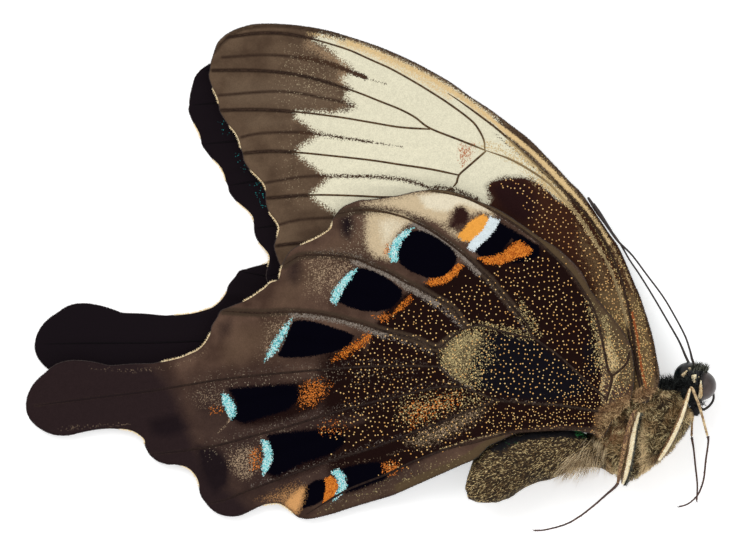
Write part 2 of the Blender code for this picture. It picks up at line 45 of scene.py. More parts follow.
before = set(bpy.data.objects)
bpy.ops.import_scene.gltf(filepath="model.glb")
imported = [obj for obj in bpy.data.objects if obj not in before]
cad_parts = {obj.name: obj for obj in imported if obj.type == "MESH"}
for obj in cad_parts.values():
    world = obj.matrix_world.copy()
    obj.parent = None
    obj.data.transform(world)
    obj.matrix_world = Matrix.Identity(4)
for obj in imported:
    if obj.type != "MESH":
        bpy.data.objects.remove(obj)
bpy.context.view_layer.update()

# The photograph's scale and its pixel over the origin, as in the part's source
PIXEL = 0.052 / 554
ORIGIN_PX = np.array((371.85, 278.45))
IMAGE_SIZE_PX = (741, 550)
WING_BASE_PX = (645, 395)
BODY_HEIGHT = 0.0045

# How the wings lie: a turn in degrees and a slip from the right wings' place, as in the source
RIGHT_POSE = (0.0, (0.0, 0.0))
LEFT_FORE_POSE = (4.1, (0.00013, -0.00026))
LEFT_HIND_POSE = (-6.6, (0.00055, -0.00080))

# Steps along smoothed lines, in pixels and in metres
MARK_STEP_PX = 12
VEIN_STEP_PX = 4
MARGIN_STEP_PX = 0.35
LIMB_STEP = 0.00012
SPINE_STEP = 0.00022

# Parts of a hair and of a fringe scale or spine, each with two points to a part and one at the tip
HAIR_PARTS = 3
FRINGE_PARTS = 2
# The map's middle part, where hairs and scales have their patches, and a patch's side
MAP_LOW, MAP_HIGH, MAP_SPAN = 0.02, 0.97, 0.95
MAP_PATCH = 0.003
# How deep a coat's hairs stand in the skin, and how low a spine's tip may hang
ROOT_DEPTH = 0.00003
LOWEST_TIP = 0.00002
# How widely a wing's height above the floor is evened out
EVEN_WIDTH = 0.0005

SIDES = ("right", "left")
UP = (0, 0, 1.0)
TINY = 1e-18


def pairs(*flat):
    """Points from a run of their x and y values."""
    return list(zip(flat[::2], flat[1::2]))


def area(soft, strength, *outline):
    """A mark inside an outline, with its softness in pixels and its strength."""
    return soft, strength, pairs(*outline)


def stroke(half, soft, strength, *line):
    """A mark along a line, with its half width in pixels as well."""
    return soft, strength, pairs(*line), half


# Outlines of the wings, in stretches that meet at corners
FORE_COSTA = pairs(
    657, 388, 659, 375, 656, 357, 653, 340, 649, 325, 645, 312, 640, 297, 634, 283, 620, 250,
    610, 235, 600, 220, 590, 205, 580, 191.5, 570, 182, 560, 171, 550, 160.5, 530, 140, 510, 124.5,
    490, 109.5, 470, 96.5, 450, 82, 430, 70.5, 412, 61, 380, 47, 350, 37, 330, 31, 310, 27,
    290, 24.5, 270, 23.5, 255, 24, 245, 26, 235, 29.5, 225, 35, 218, 42, 214, 52, 211, 62, 210, 69,
)
FORE_TERMEN = pairs(
    210, 69, 209, 76, 212, 86, 217, 97, 219, 105, 220, 111, 224, 118, 229, 125, 235, 132, 239, 140,
    241, 148, 243, 154, 244, 160, 249, 168, 255, 174, 261, 180, 265, 186, 266, 193, 266, 200,
    267, 206, 270, 213, 274, 218, 278, 224, 279, 229, 277, 237, 275, 243, 274.5, 248, 277, 256,
    279, 262, 281.5, 267, 285, 275, 290, 290,
)
FORE_HIDDEN = pairs(
    290, 290, 400, 322, 520, 358, 600, 386, 641, 402, 650, 397, 657, 388,
)
HIND_COSTA = pairs(
    628, 405, 633, 382, 631, 350, 620, 328, 607, 312, 600, 303, 590, 290, 580, 271, 560, 251,
    540, 238, 520, 224, 500, 211, 480, 202, 460, 194, 445, 190.5, 430, 190, 415, 192, 400, 195.5,
    385, 198, 370, 200, 360, 200.5, 350, 204, 345, 206, 340, 210, 336, 215, 333, 220,
)
HIND_TERMEN = pairs(
    333, 220, 332, 226, 329.5, 230, 320, 236.5, 311, 241, 300, 245.5, 295, 248, 290, 252, 286, 258,
    283, 264, 281, 270, 280, 275, 278, 280, 270, 283, 265, 288, 260, 291.5, 252, 297, 243, 302,
    235, 305, 228, 308, 221, 311, 217, 318, 212, 326, 210, 334, 205, 343, 198, 350, 190, 354,
    180, 358, 170, 360.5, 160, 362.5, 150, 364, 130, 364.5, 110, 366, 100, 364, 90, 362, 80, 361,
    70, 361, 60, 363, 52, 367, 45, 373, 38, 379, 32, 386, 28, 394, 26, 402, 26, 410, 28, 416,
    31, 421, 36, 426, 42, 430, 48, 433, 55, 435, 62, 435.5, 70, 435, 80, 432.5, 90, 430.5, 100, 429,
    110, 428.5, 120, 429, 128, 430, 135, 432.5, 140, 436, 144, 440, 145, 446, 149, 454, 153, 458,
    157, 461, 162, 463, 168, 464.5, 175, 464.5, 182, 466, 188, 468.5, 193, 473, 197, 479, 199, 486,
    199.5, 491, 201, 496, 205, 502, 210, 508, 215, 512, 220, 514.5, 226, 516, 233, 516.5,
    240, 515.5, 246, 513, 252, 510, 258, 507, 264, 505, 270, 504, 276, 503.5, 282, 505, 288, 509,
    294, 514, 298, 517, 305, 519, 312, 518.5, 320, 517,
)
HIND_INNER = pairs(
    320, 517, 335, 513, 350, 508, 365, 503.5, 390, 496, 400, 492, 420, 483, 440, 474, 460, 465,
    476, 457.5, 488, 446, 499, 440.5, 515, 433, 530, 431, 548, 430, 575, 430, 596, 434, 603, 436,
    612, 420, 628, 405,
)

# Veins, from the base or the branch to the margin
FORE_VEINS = [
    pairs(642, 385, 636, 358, 632, 330, 625, 292, 619, 272, 610, 251, 600, 234, 590, 219, 580, 207,
          560, 186.5, 540, 168, 520, 149.5, 500, 131, 480, 115.5, 460, 101, 448, 93),
    pairs(640, 388, 632, 350, 624, 312, 616, 284, 606, 260, 595, 241, 586, 227, 577, 214, 560, 195,
          550, 184, 530, 170, 510, 159, 485, 150),
    pairs(485, 150, 484, 140, 478, 128, 470, 119, 450, 104, 430, 91, 410, 79, 390, 68, 370, 59,
          350, 50, 330, 43.5, 310, 38, 290, 34, 270, 32.5, 250, 33.5, 227, 37),
    pairs(485, 150, 460, 140, 430, 128, 415, 117, 400, 109, 380, 101, 360, 93, 340, 86, 320, 80,
          300, 75, 280, 72, 250, 70, 212, 70),
    pairs(430, 129, 400, 127, 370, 122, 340, 117, 300, 112, 260, 109.5, 221, 110),
    pairs(486, 151, 470, 165, 459, 175, 457, 182, 453, 187),
    pairs(459, 175, 430, 169, 400, 164.5, 370, 160, 330, 155.5, 300, 152.5, 270, 151, 244, 153),
    pairs(453, 188, 440, 193, 420, 196, 385, 197, 350, 195.5, 310, 195, 267, 198),
    pairs(453, 190, 420, 228, 350, 242, 300, 243, 276, 246),
    pairs(636, 394, 560, 330, 490, 245, 453, 190),
    pairs(634, 397, 520, 345, 400, 305, 300, 282),
]
HIND_VEINS = [
    pairs(606, 402, 610, 388, 612, 377, 608, 370, 605, 355, 601, 335, 597, 318, 590, 302, 580, 286,
          570, 272, 555, 257, 540, 243, 520, 228, 500, 215, 480, 204, 460, 196, 432, 191),
    pairs(612, 376, 620, 370, 627, 362, 629, 352),
    pairs(608, 400, 590, 385, 560, 357, 533, 337, 527, 324, 517, 312, 505, 298, 497, 288, 490, 279,
          480, 270, 470, 260, 455, 247.5, 442, 238, 435, 233, 425, 227, 415, 222, 405, 217.5,
          395, 214.5, 384, 212, 365, 210, 352, 211, 336, 214),
    pairs(533, 338, 520, 336, 500, 331, 480, 325, 466, 327, 455, 311, 445, 303, 432, 296, 420, 289,
          407, 283, 395, 276, 383, 270, 372, 266, 360, 260, 340, 256, 320, 255, 300, 256, 284, 265),
    pairs(466, 327, 452, 337, 438, 348, 430, 346, 418, 340, 400, 335, 380, 330, 360, 323, 350, 321,
          340, 318, 320, 314, 300, 312, 280, 312, 260, 313, 223, 311),
    pairs(438, 348, 438, 358, 439, 366, 420, 366, 380, 366, 330, 369, 283, 373, 226, 379, 150, 391,
          94, 398, 70, 401, 34, 406),
    pairs(439, 366, 451, 378.5, 462, 386, 440, 387, 420, 391, 400, 396, 370, 403, 340, 411,
          310, 420, 280, 429, 250, 437, 220, 445, 190, 450, 149, 455),
    pairs(606, 412, 596, 411, 559, 405, 535, 404, 516, 402, 497, 400, 469, 389, 462, 386),
    pairs(497, 400, 480, 407, 460, 414, 440, 423, 420, 430, 400, 438, 370, 449, 340, 458, 310, 468,
          280, 479, 250, 490, 225, 500, 207, 504),
    pairs(600, 428, 560, 429, 515, 432, 496, 436, 476, 442, 450, 448, 430, 455, 410, 463, 390, 473,
          370, 481, 350, 489, 330, 500, 306, 515),
]
# Folds between the veins, where the membrane creases
FORE_FOLDS = [
    pairs(385, 84, 375, 80, 340, 69, 310, 59.5, 270, 54.5, 222, 57),
    pairs(352, 104, 320, 97, 280, 91, 218, 95),
    pairs(420, 149, 405, 147, 370, 141.5, 330, 135.5, 300, 132, 260, 133, 241, 137),
    pairs(452, 189, 420, 184, 400, 179, 370, 176.5, 310, 176, 263, 183),
    pairs(345, 217, 300, 219.5, 278, 225),
]
HIND_FOLDS = [
    pairs(400, 250, 372, 238, 350, 232, 332, 230),
    pairs(400, 330, 372, 300, 330, 288, 290, 283, 277, 280),
    pairs(390, 347, 330, 345, 266, 342, 248, 337.5, 212, 333),
    pairs(420, 378, 350, 386, 270, 398, 205, 412, 150, 428),
    pairs(450, 398, 380, 420, 330, 437, 260, 460, 200, 482),
    pairs(420, 442, 380, 460, 330, 482, 290, 500),
]

# Stretches of the margins with a cream fringe
FORE_FRINGES = [
    ((213, 87), (219, 104)), ((229, 125), (241, 149)), ((250, 169), (266, 191)),
    ((269, 211), (277, 238)),
]
HIND_FRINGES = [
    ((333, 221), (300, 246)), ((283, 265), (279, 279)), ((277, 281), (243, 302)),
    ((211, 332), (160, 362)), ((118, 429), (145, 445)), ((180, 466), (199, 488)),
    ((262, 506), (294, 514)),
]

# Where the left wings' black upper sides glint with blue-green scales
GLINTS = [
    stroke(1, 5, 0.12, 221, 122, 226, 132),
    stroke(1, 5, 0.12, 238, 156, 244, 170),
    stroke(2, 6, 0.15, 256, 184, 264, 204),
]

# Marks on a wing's underside
FORE_MARKS = {
    "pale_brown": [
        area(16, 0.55, 225, 75, 330, 80, 330, 108, 230, 106),
        area(14, 0.5, 240, 115, 300, 117, 290, 128, 243, 130),
        area(14, 0.4, 260, 186, 310, 186, 300, 195, 270, 195),
    ],
    "vein_shade": [
        *((2.8, 1, vein, 1.9) for vein in FORE_VEINS[2:]),
        stroke(2.4, 4, 0.8, 213, 52, 232, 33, 255, 26, 290, 26, 330, 33, 345, 38),
    ],
    "fold_shade": [
        *((2.8, 0.95, fold, 1.5) for fold in FORE_FOLDS),
        stroke(3, 6, 0.5, 250, 33, 300, 32, 340, 44),
        area(9, 0.35, 350, 102, 300, 88, 300, 72, 352, 84, 356, 97),
    ],
    "cream_edge": [
        stroke(4, 18, 0.9, 310, 44, 330, 56, 346, 66, 342, 80),
        stroke(2, 9, 0.6, 344, 84, 346, 104, 330, 112, 296, 114),
        stroke(2, 9, 0.6, 294, 120, 318, 133, 298, 146, 298, 158, 326, 177, 312, 195, 345, 222),
    ],
    "cream": [
        area(9, 1, 314, 39, 326, 46, 335, 54, 344, 62, 352, 67, 350, 74, 342, 78, 345, 84, 352, 88,
             346, 93, 345, 98, 352, 103, 356, 107, 346, 110, 336, 112, 296, 112, 295, 117, 306, 124,
             314, 130, 320, 133, 314, 138, 300, 147, 296, 152, 302, 158, 310, 164, 318, 170,
             328, 177, 324, 183, 317, 189, 310, 195, 318, 202, 328, 208, 340, 215, 345, 222,
             470, 222, 482, 212, 490, 203, 488, 190, 492, 182, 503, 178, 530, 178, 546, 187,
             558, 199, 557, 189, 548, 178, 534, 164, 518, 149, 507, 136, 500, 123, 470, 100,
             450, 87, 430, 76, 410, 66, 390, 57, 370, 48, 350, 42, 332, 37, 320, 35),
    ],
    "fold_streak": [
        stroke(2.3, 2.4, 1, 300, 57, 318, 60, 330, 63.5, 340, 67, 350, 71, 360, 75, 366, 77.5),
        stroke(0.9, 1.8, 0.7, 496, 134, 520, 155, 540, 173, 552, 184),
        stroke(1.3, 1.8, 0.5, 386, 84, 376, 80.5, 365, 77.5),
        stroke(1.3, 2.2, 0.9, 372, 142, 330, 135.5, 300, 132),
        stroke(1.2, 1.8, 0.55, 405, 147, 372, 142),
        stroke(2, 3.2, 0.85, 440, 192, 420, 184, 400, 179, 370, 176.5, 320, 176),
        stroke(2.6, 4, 0.8, 478, 200, 455, 190, 436, 187),
        stroke(3.5, 3, 0.35, 320, 135, 345, 138),
    ],
    "costal_tan": [
        stroke(2, 4, 0.6, 308, 33, 330, 37, 352, 43),
        stroke(3, 5, 0.9, 348, 42, 370, 50, 390, 58.5, 410, 68, 430, 78, 450, 89.5, 470, 103,
               490, 117.5),
        stroke(5, 7, 0.6, 340, 42, 370, 53, 400, 68, 430, 84, 450, 96),
        stroke(1.8, 1.8, 0.95, 484, 113, 500, 126, 520, 141, 540, 158.5, 560, 178, 570, 189,
               580, 200.5, 590, 213, 600, 226.5, 610, 243),
        stroke(2.6, 2.4, 0.8, 500, 127, 520, 142, 540, 159.5, 560, 180, 570, 190.5),
        stroke(1.6, 3, 0.6, 608, 240, 615, 251, 620, 261, 625, 271, 630, 282, 634, 292),
    ],
    "costal_cream": [
        stroke(2.4, 2.4, 0.9, 540, 180, 550, 188, 560, 197, 570, 206),
        stroke(2.4, 2.4, 0.65, 570, 206, 578, 215, 587, 229, 595, 241, 604, 256),
        stroke(6, 8, 0.45, 484, 146, 500, 150, 520, 163, 545, 185),
        stroke(2.4, 2.4, 0.8, 508, 141, 520, 152.5, 540, 171.5, 556, 188, 566, 199),
        stroke(2, 2.6, 0.6, 600, 249, 609, 265, 614, 277, 620, 293, 624, 310, 627, 324),
    ],
    "costal_pepper": [
        stroke(1.8, 3, 0.45, 300, 29, 330, 32.5, 350, 39, 370, 45.5, 392, 54),
        stroke(0.8, 1.4, 0.8, 380, 47.5, 412, 61.5, 450, 83, 470, 97.5, 490, 111),
        stroke(1.9, 1.6, 1, 540, 168, 550, 177, 560, 186.5, 570, 196.5, 580, 207, 590, 219,
               600, 234, 607, 247, 614, 262, 621, 278, 626, 295, 629, 308, 632, 325, 634, 345,
               639, 372),
        stroke(0.9, 1.2, 0.9, 490, 122.5, 500, 131, 510, 139, 520, 148.5, 530, 157.5, 540, 167),
        stroke(2.3, 2.6, 0.62, 498, 119, 510, 128, 520, 136, 540, 153.5, 550, 163.5, 560, 173.5,
               570, 184, 580, 195, 590, 208.5, 600, 223, 611, 240, 622, 260, 632, 280, 639, 300),
        stroke(1.6, 1.8, 0.9, 638, 297, 646, 320, 651.5, 340, 655, 360, 657, 384),
    ],
    "costal_rust": [
        stroke(1.05, 0.9, 1, 632, 312, 636, 330, 639, 350, 642, 372, 646, 388),
    ],
    "cell_rust": [
        area(7, 0.6, 459, 145, 474, 144, 471, 156, 463, 167, 460, 160),
    ],
    "basal_patch": [
        area(2.2, 1, 490, 183, 500, 180, 525, 178, 540, 185, 552, 195, 562, 205, 572, 202, 590, 204,
             620, 250, 640, 297, 656, 357, 650, 385, 618, 385, 560, 350, 490, 280, 478, 230,
             488, 208, 495, 198, 489, 190),
    ],
    "patch_shade": [
        area(16, 0.9, 487, 186, 500, 179, 522, 179, 536, 194, 538, 214, 524, 226, 500, 210),
    ],
    "root_olive": [
        area(14, 1, 598, 290, 622, 288, 640, 300, 648, 330, 654, 360, 652, 390, 616, 394, 608, 350,
             596, 316),
        area(20, 0.62, 576, 220, 600, 246, 616, 278, 624, 300, 604, 312, 592, 286, 576, 246),
        area(4, 0.4, 592, 214, 612, 243, 634, 290, 628, 296, 606, 246),
    ],
    "gold_dust": [
        stroke(3, 1.5, 0.2, 550, 176, 580, 206, 600, 234, 616, 266, 626, 300),
        stroke(2, 1.5, 0.14, 540, 154, 570, 184, 600, 222, 622, 260, 636, 296),
        area(3, 0.2, 633, 296, 640, 300, 648, 334, 651, 360, 652, 386, 644, 386, 640, 356,
             636, 326),
        area(8, 0.26, 604, 312, 624, 316, 630, 345, 626, 380, 612, 376),
    ],
    "fine_dots": [
        area(7, 1, 606, 262, 618, 268, 636, 304, 648, 335, 654, 390, 618, 392, 612, 330, 600, 290),
    ],
    "gold_dots": [
        area(4, 1, 492, 184, 500, 181, 525, 180, 545, 187, 565, 205, 590, 240, 612, 285, 622, 320,
             600, 330, 560, 330, 536, 250, 530, 225, 526, 206, 520, 192, 500, 190),
    ],
    "pale_specks": [
        area(26, 0.13, 285, 38, 330, 52, 350, 90, 345, 108, 280, 108, 280, 60),
        area(16, 0.1, 285, 122, 310, 132, 300, 172, 310, 192, 300, 210, 285, 200, 275, 150),
    ],
}
HIND_MARKS = {
    "pale_brown": [
        area(26, 0.45, 345, 218, 400, 205, 400, 262, 350, 262, 320, 300, 270, 330, 262, 300,
             290, 262),
        area(22, 0.5, 232, 318, 290, 320, 262, 362, 225, 372, 215, 350),
        area(16, 0.2, 180, 390, 226, 384, 232, 420, 200, 432),
        area(12, 0.5, 300, 505, 400, 468, 470, 448, 480, 456, 400, 492, 322, 515),
    ],
    "vein_shade": [(2, 0.6, vein, 0.7) for vein in HIND_VEINS[2:7]],
    "tail_shade": [
        area(40, 1, 0, 340, 130, 350, 172, 380, 190, 420, 215, 470, 250, 500, 250, 540, 0, 540),
        area(16, 0.5, 150, 360, 205, 340, 205, 352, 160, 372),
        area(40, 0.55, 180, 366, 420, 366, 420, 500, 240, 520, 190, 470, 170, 420),
    ],
    "blotch": [
        area(11, 0.8, 338, 216, 352, 212, 356, 226, 350, 242, 340, 236),
        area(12, 0.6, 284, 262, 298, 252, 305, 272, 296, 290, 284, 282),
        area(12, 0.55, 216, 322, 234, 316, 232, 336, 218, 344),
        area(12, 0.85, 148, 420, 178, 414, 188, 428, 168, 438, 150, 434),
        area(11, 0.95, 196, 446, 214, 448, 228, 462, 228, 486, 214, 494, 200, 470),
    ],
    "vein_olive": [
        *((3, 0.8, HIND_VEINS[k][first:], 4.6) for k, first in ((2, 5), (3, 4), (4, 1))),
        *((4, 0.45, vein, 2.5) for vein in HIND_VEINS[5:9]),
    ],
    "dark_disc": [
        area(9, 1, 512, 240, 541, 246, 562, 262, 583, 292, 595, 318, 600, 352, 602, 388, 600, 426,
             560, 426, 512, 432, 480, 438, 440, 452, 400, 470, 382, 476, 352, 470, 345, 450,
             300, 462, 300, 436, 345, 428, 370, 418, 352, 416, 346, 406, 354, 392, 358, 370,
             366, 350, 376, 322, 395, 300, 425, 284, 440, 272, 470, 262, 488, 250, 500, 244),
        area(9, 0.8, 345, 428, 360, 424, 350, 446, 300, 466, 280, 470),
        area(28, 1, 322, 350, 362, 342, 376, 370, 364, 416, 322, 412),
        area(16, 1, 322, 452, 400, 436, 400, 470, 340, 482),
        area(9, 0.75, 228, 388, 320, 380, 320, 410, 240, 428),
        area(9, 0.75, 268, 434, 350, 424, 345, 456, 270, 482),
        area(8, 0.6, 345, 466, 392, 462, 392, 480, 345, 496),
    ],
    "cell_blue": [
        area(7, 0.9, 474, 334, 500, 334, 533, 341, 560, 360, 588, 387, 560, 401, 516, 398, 478, 388,
             468, 372, 470, 350),
        area(7, 0.6, 590, 330, 598, 350, 600, 372, 588, 380, 580, 350),
    ],
    "cell_olive": [
        area(10, 0.85, 442, 350, 452, 339, 470, 332, 486, 336, 476, 352, 468, 372, 472, 386,
             456, 380, 444, 368),
        area(12, 0.55, 402, 442, 440, 422, 466, 410, 486, 404, 482, 416, 450, 436, 418, 450),
    ],
    "vein_lilac": [
        stroke(3.2, 3.4, 0.8, 404, 220, 418, 226, 430, 233, 443, 241, 457, 252, 470, 264, 478, 273),
        stroke(2.4, 4, 0.28, 478, 273, 494, 290, 507, 305, 526, 332),
        stroke(3.6, 3.4, 0.75, 354, 262, 366, 266, 380, 272, 394, 279, 408, 287, 422, 295,
               436, 304),
        stroke(3, 4, 0.42, 436, 304, 450, 315, 462, 328),
        stroke(2.8, 3.4, 0.7, 292, 315, 320, 318, 345, 322, 365, 329, 385, 336),
        stroke(2.6, 4, 0.4, 385, 336, 412, 345, 432, 353),
        stroke(4, 6, 0.3, 318, 253, 345, 252, 372, 262),
        stroke(3.5, 5, 0.2, 240, 374, 283, 368, 330, 364, 380, 361, 430, 362),
        stroke(4, 5, 0.2, 240, 434, 280, 424, 310, 415, 370, 399, 420, 387, 452, 383),
        stroke(4, 5, 0.24, 252, 486, 300, 469, 340, 457, 370, 446, 400, 436),
        stroke(2, 3, 0.3, 482, 404, 500, 399, 530, 402, 570, 406),
        stroke(2.4, 3.2, 0.45, 470, 388, 452, 378, 440, 366),
        stroke(2.6, 3, 0.35, 560, 250, 580, 276, 592, 298, 599, 322),
        stroke(2.4, 3.4, 0.5, 470, 200, 490, 209, 512, 222, 540, 242),
        area(9, 0.3, 600, 330, 622, 334, 624, 356, 610, 366),
    ],
    "cream": [
        area(11, 0.95, 362, 204, 385, 199, 415, 193, 445, 191, 470, 198, 492, 210, 494, 216,
             480, 212, 470, 216, 462, 208, 452, 212, 446, 224, 425, 218, 400, 210, 380, 206),
        area(12, 0.92, 366, 214, 382, 211, 404, 214, 412, 220, 399, 232, 391, 246, 390, 260,
             374, 257, 365, 240),
        area(7, 0.6, 430, 219, 450, 224, 470, 242, 462, 243, 445, 232),
    ],
    "bright_cream": [
        area(8, 0.9, 418, 196, 445, 192, 474, 200, 490, 211, 478, 210, 460, 204, 448, 212,
             425, 208),
        area(12, 0.6, 376, 220, 394, 215, 408, 221, 397, 236, 389, 250, 380, 244),
    ],
    "pink_dust": [
        area(22, 0.42, 304, 258, 330, 252, 358, 262, 346, 280, 330, 292, 326, 302, 308, 294),
        area(9, 0.5, 335, 262, 354, 264, 342, 280, 330, 292, 326, 284),
        area(18, 0.38, 262, 316, 296, 314, 286, 336, 268, 358, 256, 356, 264, 336),
        area(12, 0.26, 192, 386, 221, 388, 224, 408, 195, 412),
        stroke(1.2, 1.6, 0.5, 231, 418, 225, 426, 218, 432),
        area(9, 0.5, 228, 452, 256, 446, 256, 474, 238, 480, 228, 466),
        area(13, 0.38, 400, 440, 440, 421, 464, 411, 486, 404, 484, 418, 450, 438, 420, 450),
        stroke(2.6, 5, 0.24, 90, 368, 130, 371, 165, 368, 195, 358, 212, 345),
        stroke(2.6, 5, 0.26, 60, 430, 90, 426, 128, 425),
        stroke(3, 6, 0.22, 262, 503, 290, 496, 320, 470, 380, 458, 410, 446),
        stroke(3, 5, 0.12, 165, 392, 220, 384, 300, 373),
        stroke(4, 6, 0.2, 370, 498, 420, 478, 470, 456, 500, 438),
    ],
    "eyespots": [
        area(1.9, 1, 496, 220, 505, 225, 514, 236, 508, 243, 501, 252, 496, 256, 488, 257, 480, 256,
             473, 251, 479, 243, 486, 239, 491, 232),
        area(3, 0.9, 500, 222, 540, 246, 540, 256, 528, 262, 512, 264, 515, 250, 512, 238),
        area(2.2, 1, 411, 231, 420, 230.5, 430, 233.5, 441, 240, 451, 248, 457.5, 257, 455, 266,
             449, 273, 441, 278, 427, 278, 411, 272, 400, 264, 397, 254, 399, 244, 404, 237),
        area(2.4, 1, 357, 268, 366, 268.5, 375, 271.5, 385, 276.5, 394, 282.5, 402, 290, 402, 297,
             397, 303, 390, 309, 378, 312, 362, 311, 348, 307, 338, 302, 339, 295, 344, 286),
        area(2.6, 1, 293, 321, 304, 320, 317, 322, 331, 326.5, 344, 330.5, 354, 335, 352, 342,
             344, 349, 330, 353, 310, 357, 284, 358, 277, 356, 283, 344),
        area(5, 1, 226, 389, 262, 386, 296, 385, 300, 398, 288, 410, 266, 417, 244, 424, 232, 420,
             237, 408, 234, 398),
        area(5, 1, 266, 435, 300, 431, 340, 430, 346, 440, 332, 454, 302, 464, 276, 477, 266, 474,
             272, 456),
        area(2.2, 1, 306, 487, 314, 481, 326, 479, 326, 490, 324, 500, 314, 506, 303, 509, 301, 504,
             303, 494),
        area(4, 1, 341, 469, 360, 464, 382, 462, 392, 470, 386, 479, 374, 484, 358, 490, 346, 494,
             342, 490, 348, 480),
    ],
    "brown_spot": [
        area(6, 0.95, 455, 207, 464, 206, 470, 214, 466, 224, 456, 226, 448, 230, 454, 219),
    ],
    "orange": [
        area(2.2, 0.92, 478, 258, 492, 256, 503, 253, 511, 245, 519, 240, 533, 249, 531, 254,
             512, 260, 500, 265, 486, 264),
        area(2.4, 0.85, 424, 283, 430, 279, 440, 278, 450, 272, 458, 263, 464, 266, 457, 275,
             444, 284, 432, 286),
        area(3, 0.85, 411, 294, 405, 301, 396, 310, 392, 316, 402, 309, 412, 300),
        area(5, 0.8, 367, 333, 355, 343, 340, 353, 333, 360, 344, 357, 358, 349, 372, 337),
        area(1.2, 1.3, 325, 479, 331, 476, 337, 482, 338, 489, 334, 496, 328, 501, 323, 503,
             326, 490),
    ],
    "rust_dust": [
        area(2.6, 0.7, 386, 243, 390, 246, 388, 256, 384, 253),
        area(4, 0.6, 373, 316, 385, 313, 393, 318, 384, 322),
        area(9, 0.66, 303, 385, 317, 381, 328, 385, 323, 395, 312, 405, 301, 406),
        area(8, 0.22, 318, 424, 338, 421, 350, 426, 338, 434, 322, 434),
        area(5, 0.55, 251, 452, 259, 448, 259, 470, 251, 470),
        area(5, 0.32, 209, 408, 220, 406, 221, 413, 211, 414),
        area(5, 0.6, 382, 464, 396, 462, 402, 468, 392, 476, 384, 474),
        area(13, 0.3, 404, 410, 424, 400, 446, 395, 460, 394, 456, 404, 440, 412, 426, 422,
             410, 428),
    ],
    "amber": [
        area(3.4, 1, 472, 220, 483, 214, 490, 219, 484, 231, 473, 241, 463, 241, 457, 235, 464, 229,
             468, 223),
    ],
    "ice": [
        area(2.2, 0.98, 490, 216, 500, 220, 495, 230, 488, 238, 481, 244, 474, 252, 467, 248,
             472, 240, 484, 229),
    ],
    "tornus_tan": [
        area(16, 0.5, 254, 500, 276, 489, 300, 480, 304, 486, 300, 506, 296, 514, 286, 508,
             270, 504),
        area(11, 1, 284, 504, 290, 497, 300, 488, 305, 488, 301, 506, 296, 514, 290, 510),
    ],
    "blue": [
        area(2, 0.96, 414, 228, 409, 234, 401.5, 242, 398, 251, 397, 261.5, 391.5, 262.5,
             388.5, 254, 391, 244, 399, 235, 406, 230),
        area(2.2, 0.92, 357.5, 268, 352, 278, 343, 290, 339, 299, 335.5, 305.5, 330.5, 301,
             332.5, 292, 341, 280, 349, 272),
        area(3, 0.9, 291, 319, 288, 330, 282, 342, 276, 352, 264, 362, 268, 352, 275, 338,
             284, 326),
        area(1.8, 0.97, 222, 393, 229, 396, 235, 406, 236, 414, 231, 420, 226, 412, 222, 402),
        area(1.8, 0.97, 261, 440, 267, 441, 272, 450, 272, 460, 268, 470, 263, 476, 261, 468,
             264, 456),
        area(1.8, 0.93, 331, 472, 339, 469, 345, 476, 347, 486, 342, 494, 336, 500, 332, 503,
             336, 494, 339, 487, 337, 480),
    ],
    "gold_dust": [
        area(8, 0.56, 442, 350, 452, 339, 468, 330, 486, 333, 478, 342, 466, 352, 462, 368,
             470, 384, 458, 380, 444, 368),
        area(16, 0.34, 446, 350, 470, 334, 490, 346, 486, 368, 476, 386, 458, 378),
        area(5, 0.45, 466, 328, 500, 333, 534, 340, 530, 334, 500, 326, 480, 321),
        area(6, 0.35, 520, 300, 534, 318, 540, 334, 530, 334, 520, 318),
        area(5, 0.4, 586, 296, 596, 312, 602, 340, 606, 372, 598, 372, 592, 330),
        area(12, 0.16, 598, 312, 616, 330, 630, 356, 632, 384, 608, 400, 606, 356),
        stroke(3, 3, 0.45, 604, 318, 609, 340, 615, 358),
        area(14, 0.22, 404, 410, 424, 398, 450, 391, 470, 392, 464, 404, 440, 414, 412, 428),
        area(8, 0.16, 400, 398, 440, 390, 478, 394, 498, 402, 470, 408, 430, 418, 396, 424),
        area(9, 0.12, 320, 512, 400, 484, 470, 456, 440, 462, 360, 494),
    ],
    "root_brown": [
        stroke(3.4, 2, 0.92, 428, 189, 460, 192, 482, 201, 502, 212, 522, 225, 542, 240, 560, 256,
               576, 274, 590, 294, 598, 312, 604, 332, 607, 352),
        stroke(5.5, 3, 0.35, 320, 514, 365, 500, 420, 480),
        stroke(5.5, 2.4, 0.85, 400, 488, 420, 480, 462, 462, 480, 450, 500, 437),
        area(3, 0.85, 598, 303, 607, 312, 620, 328, 631, 350, 633, 384, 612, 384, 602, 352),
    ],
    "root_cream": [
        stroke(1.8, 3, 0.3, 592, 322, 598, 342, 602, 364, 608, 380),
        area(6, 0.6, 603, 344, 609, 340, 616, 356, 621, 365, 613, 373, 608, 369),
        stroke(1.5, 1.6, 0.7, 626, 363, 619, 371, 613, 380, 609, 394, 607, 402),
        stroke(2.4, 2.2, 0.5, 604, 376, 601, 390, 603, 402),
        stroke(0.8, 1, 0.5, 440, 449, 476, 438, 500, 434, 530, 430, 560, 429, 596, 431),
    ],
    "root_rust": [
        area(6, 0.8, 594, 410, 610, 402, 628, 392, 640, 384, 640, 410, 620, 424, 606, 438,
             594, 434),
    ],
    "fine_dots": [
        area(8, 1, 500, 402, 550, 403, 570, 374, 596, 352, 604, 322, 630, 352, 630, 384, 622, 404,
             600, 432, 520, 432, 490, 434),
    ],
    "gold_dots": [
        area(8, 1, 516, 262, 548, 256, 574, 280, 592, 310, 596, 340, 572, 374, 550, 402, 500, 400,
             490, 434, 480, 438, 440, 452, 400, 470, 382, 474, 388, 462, 420, 440, 395, 440,
             350, 452, 340, 440, 345, 410, 338, 392, 352, 366, 376, 334, 410, 310, 448, 290,
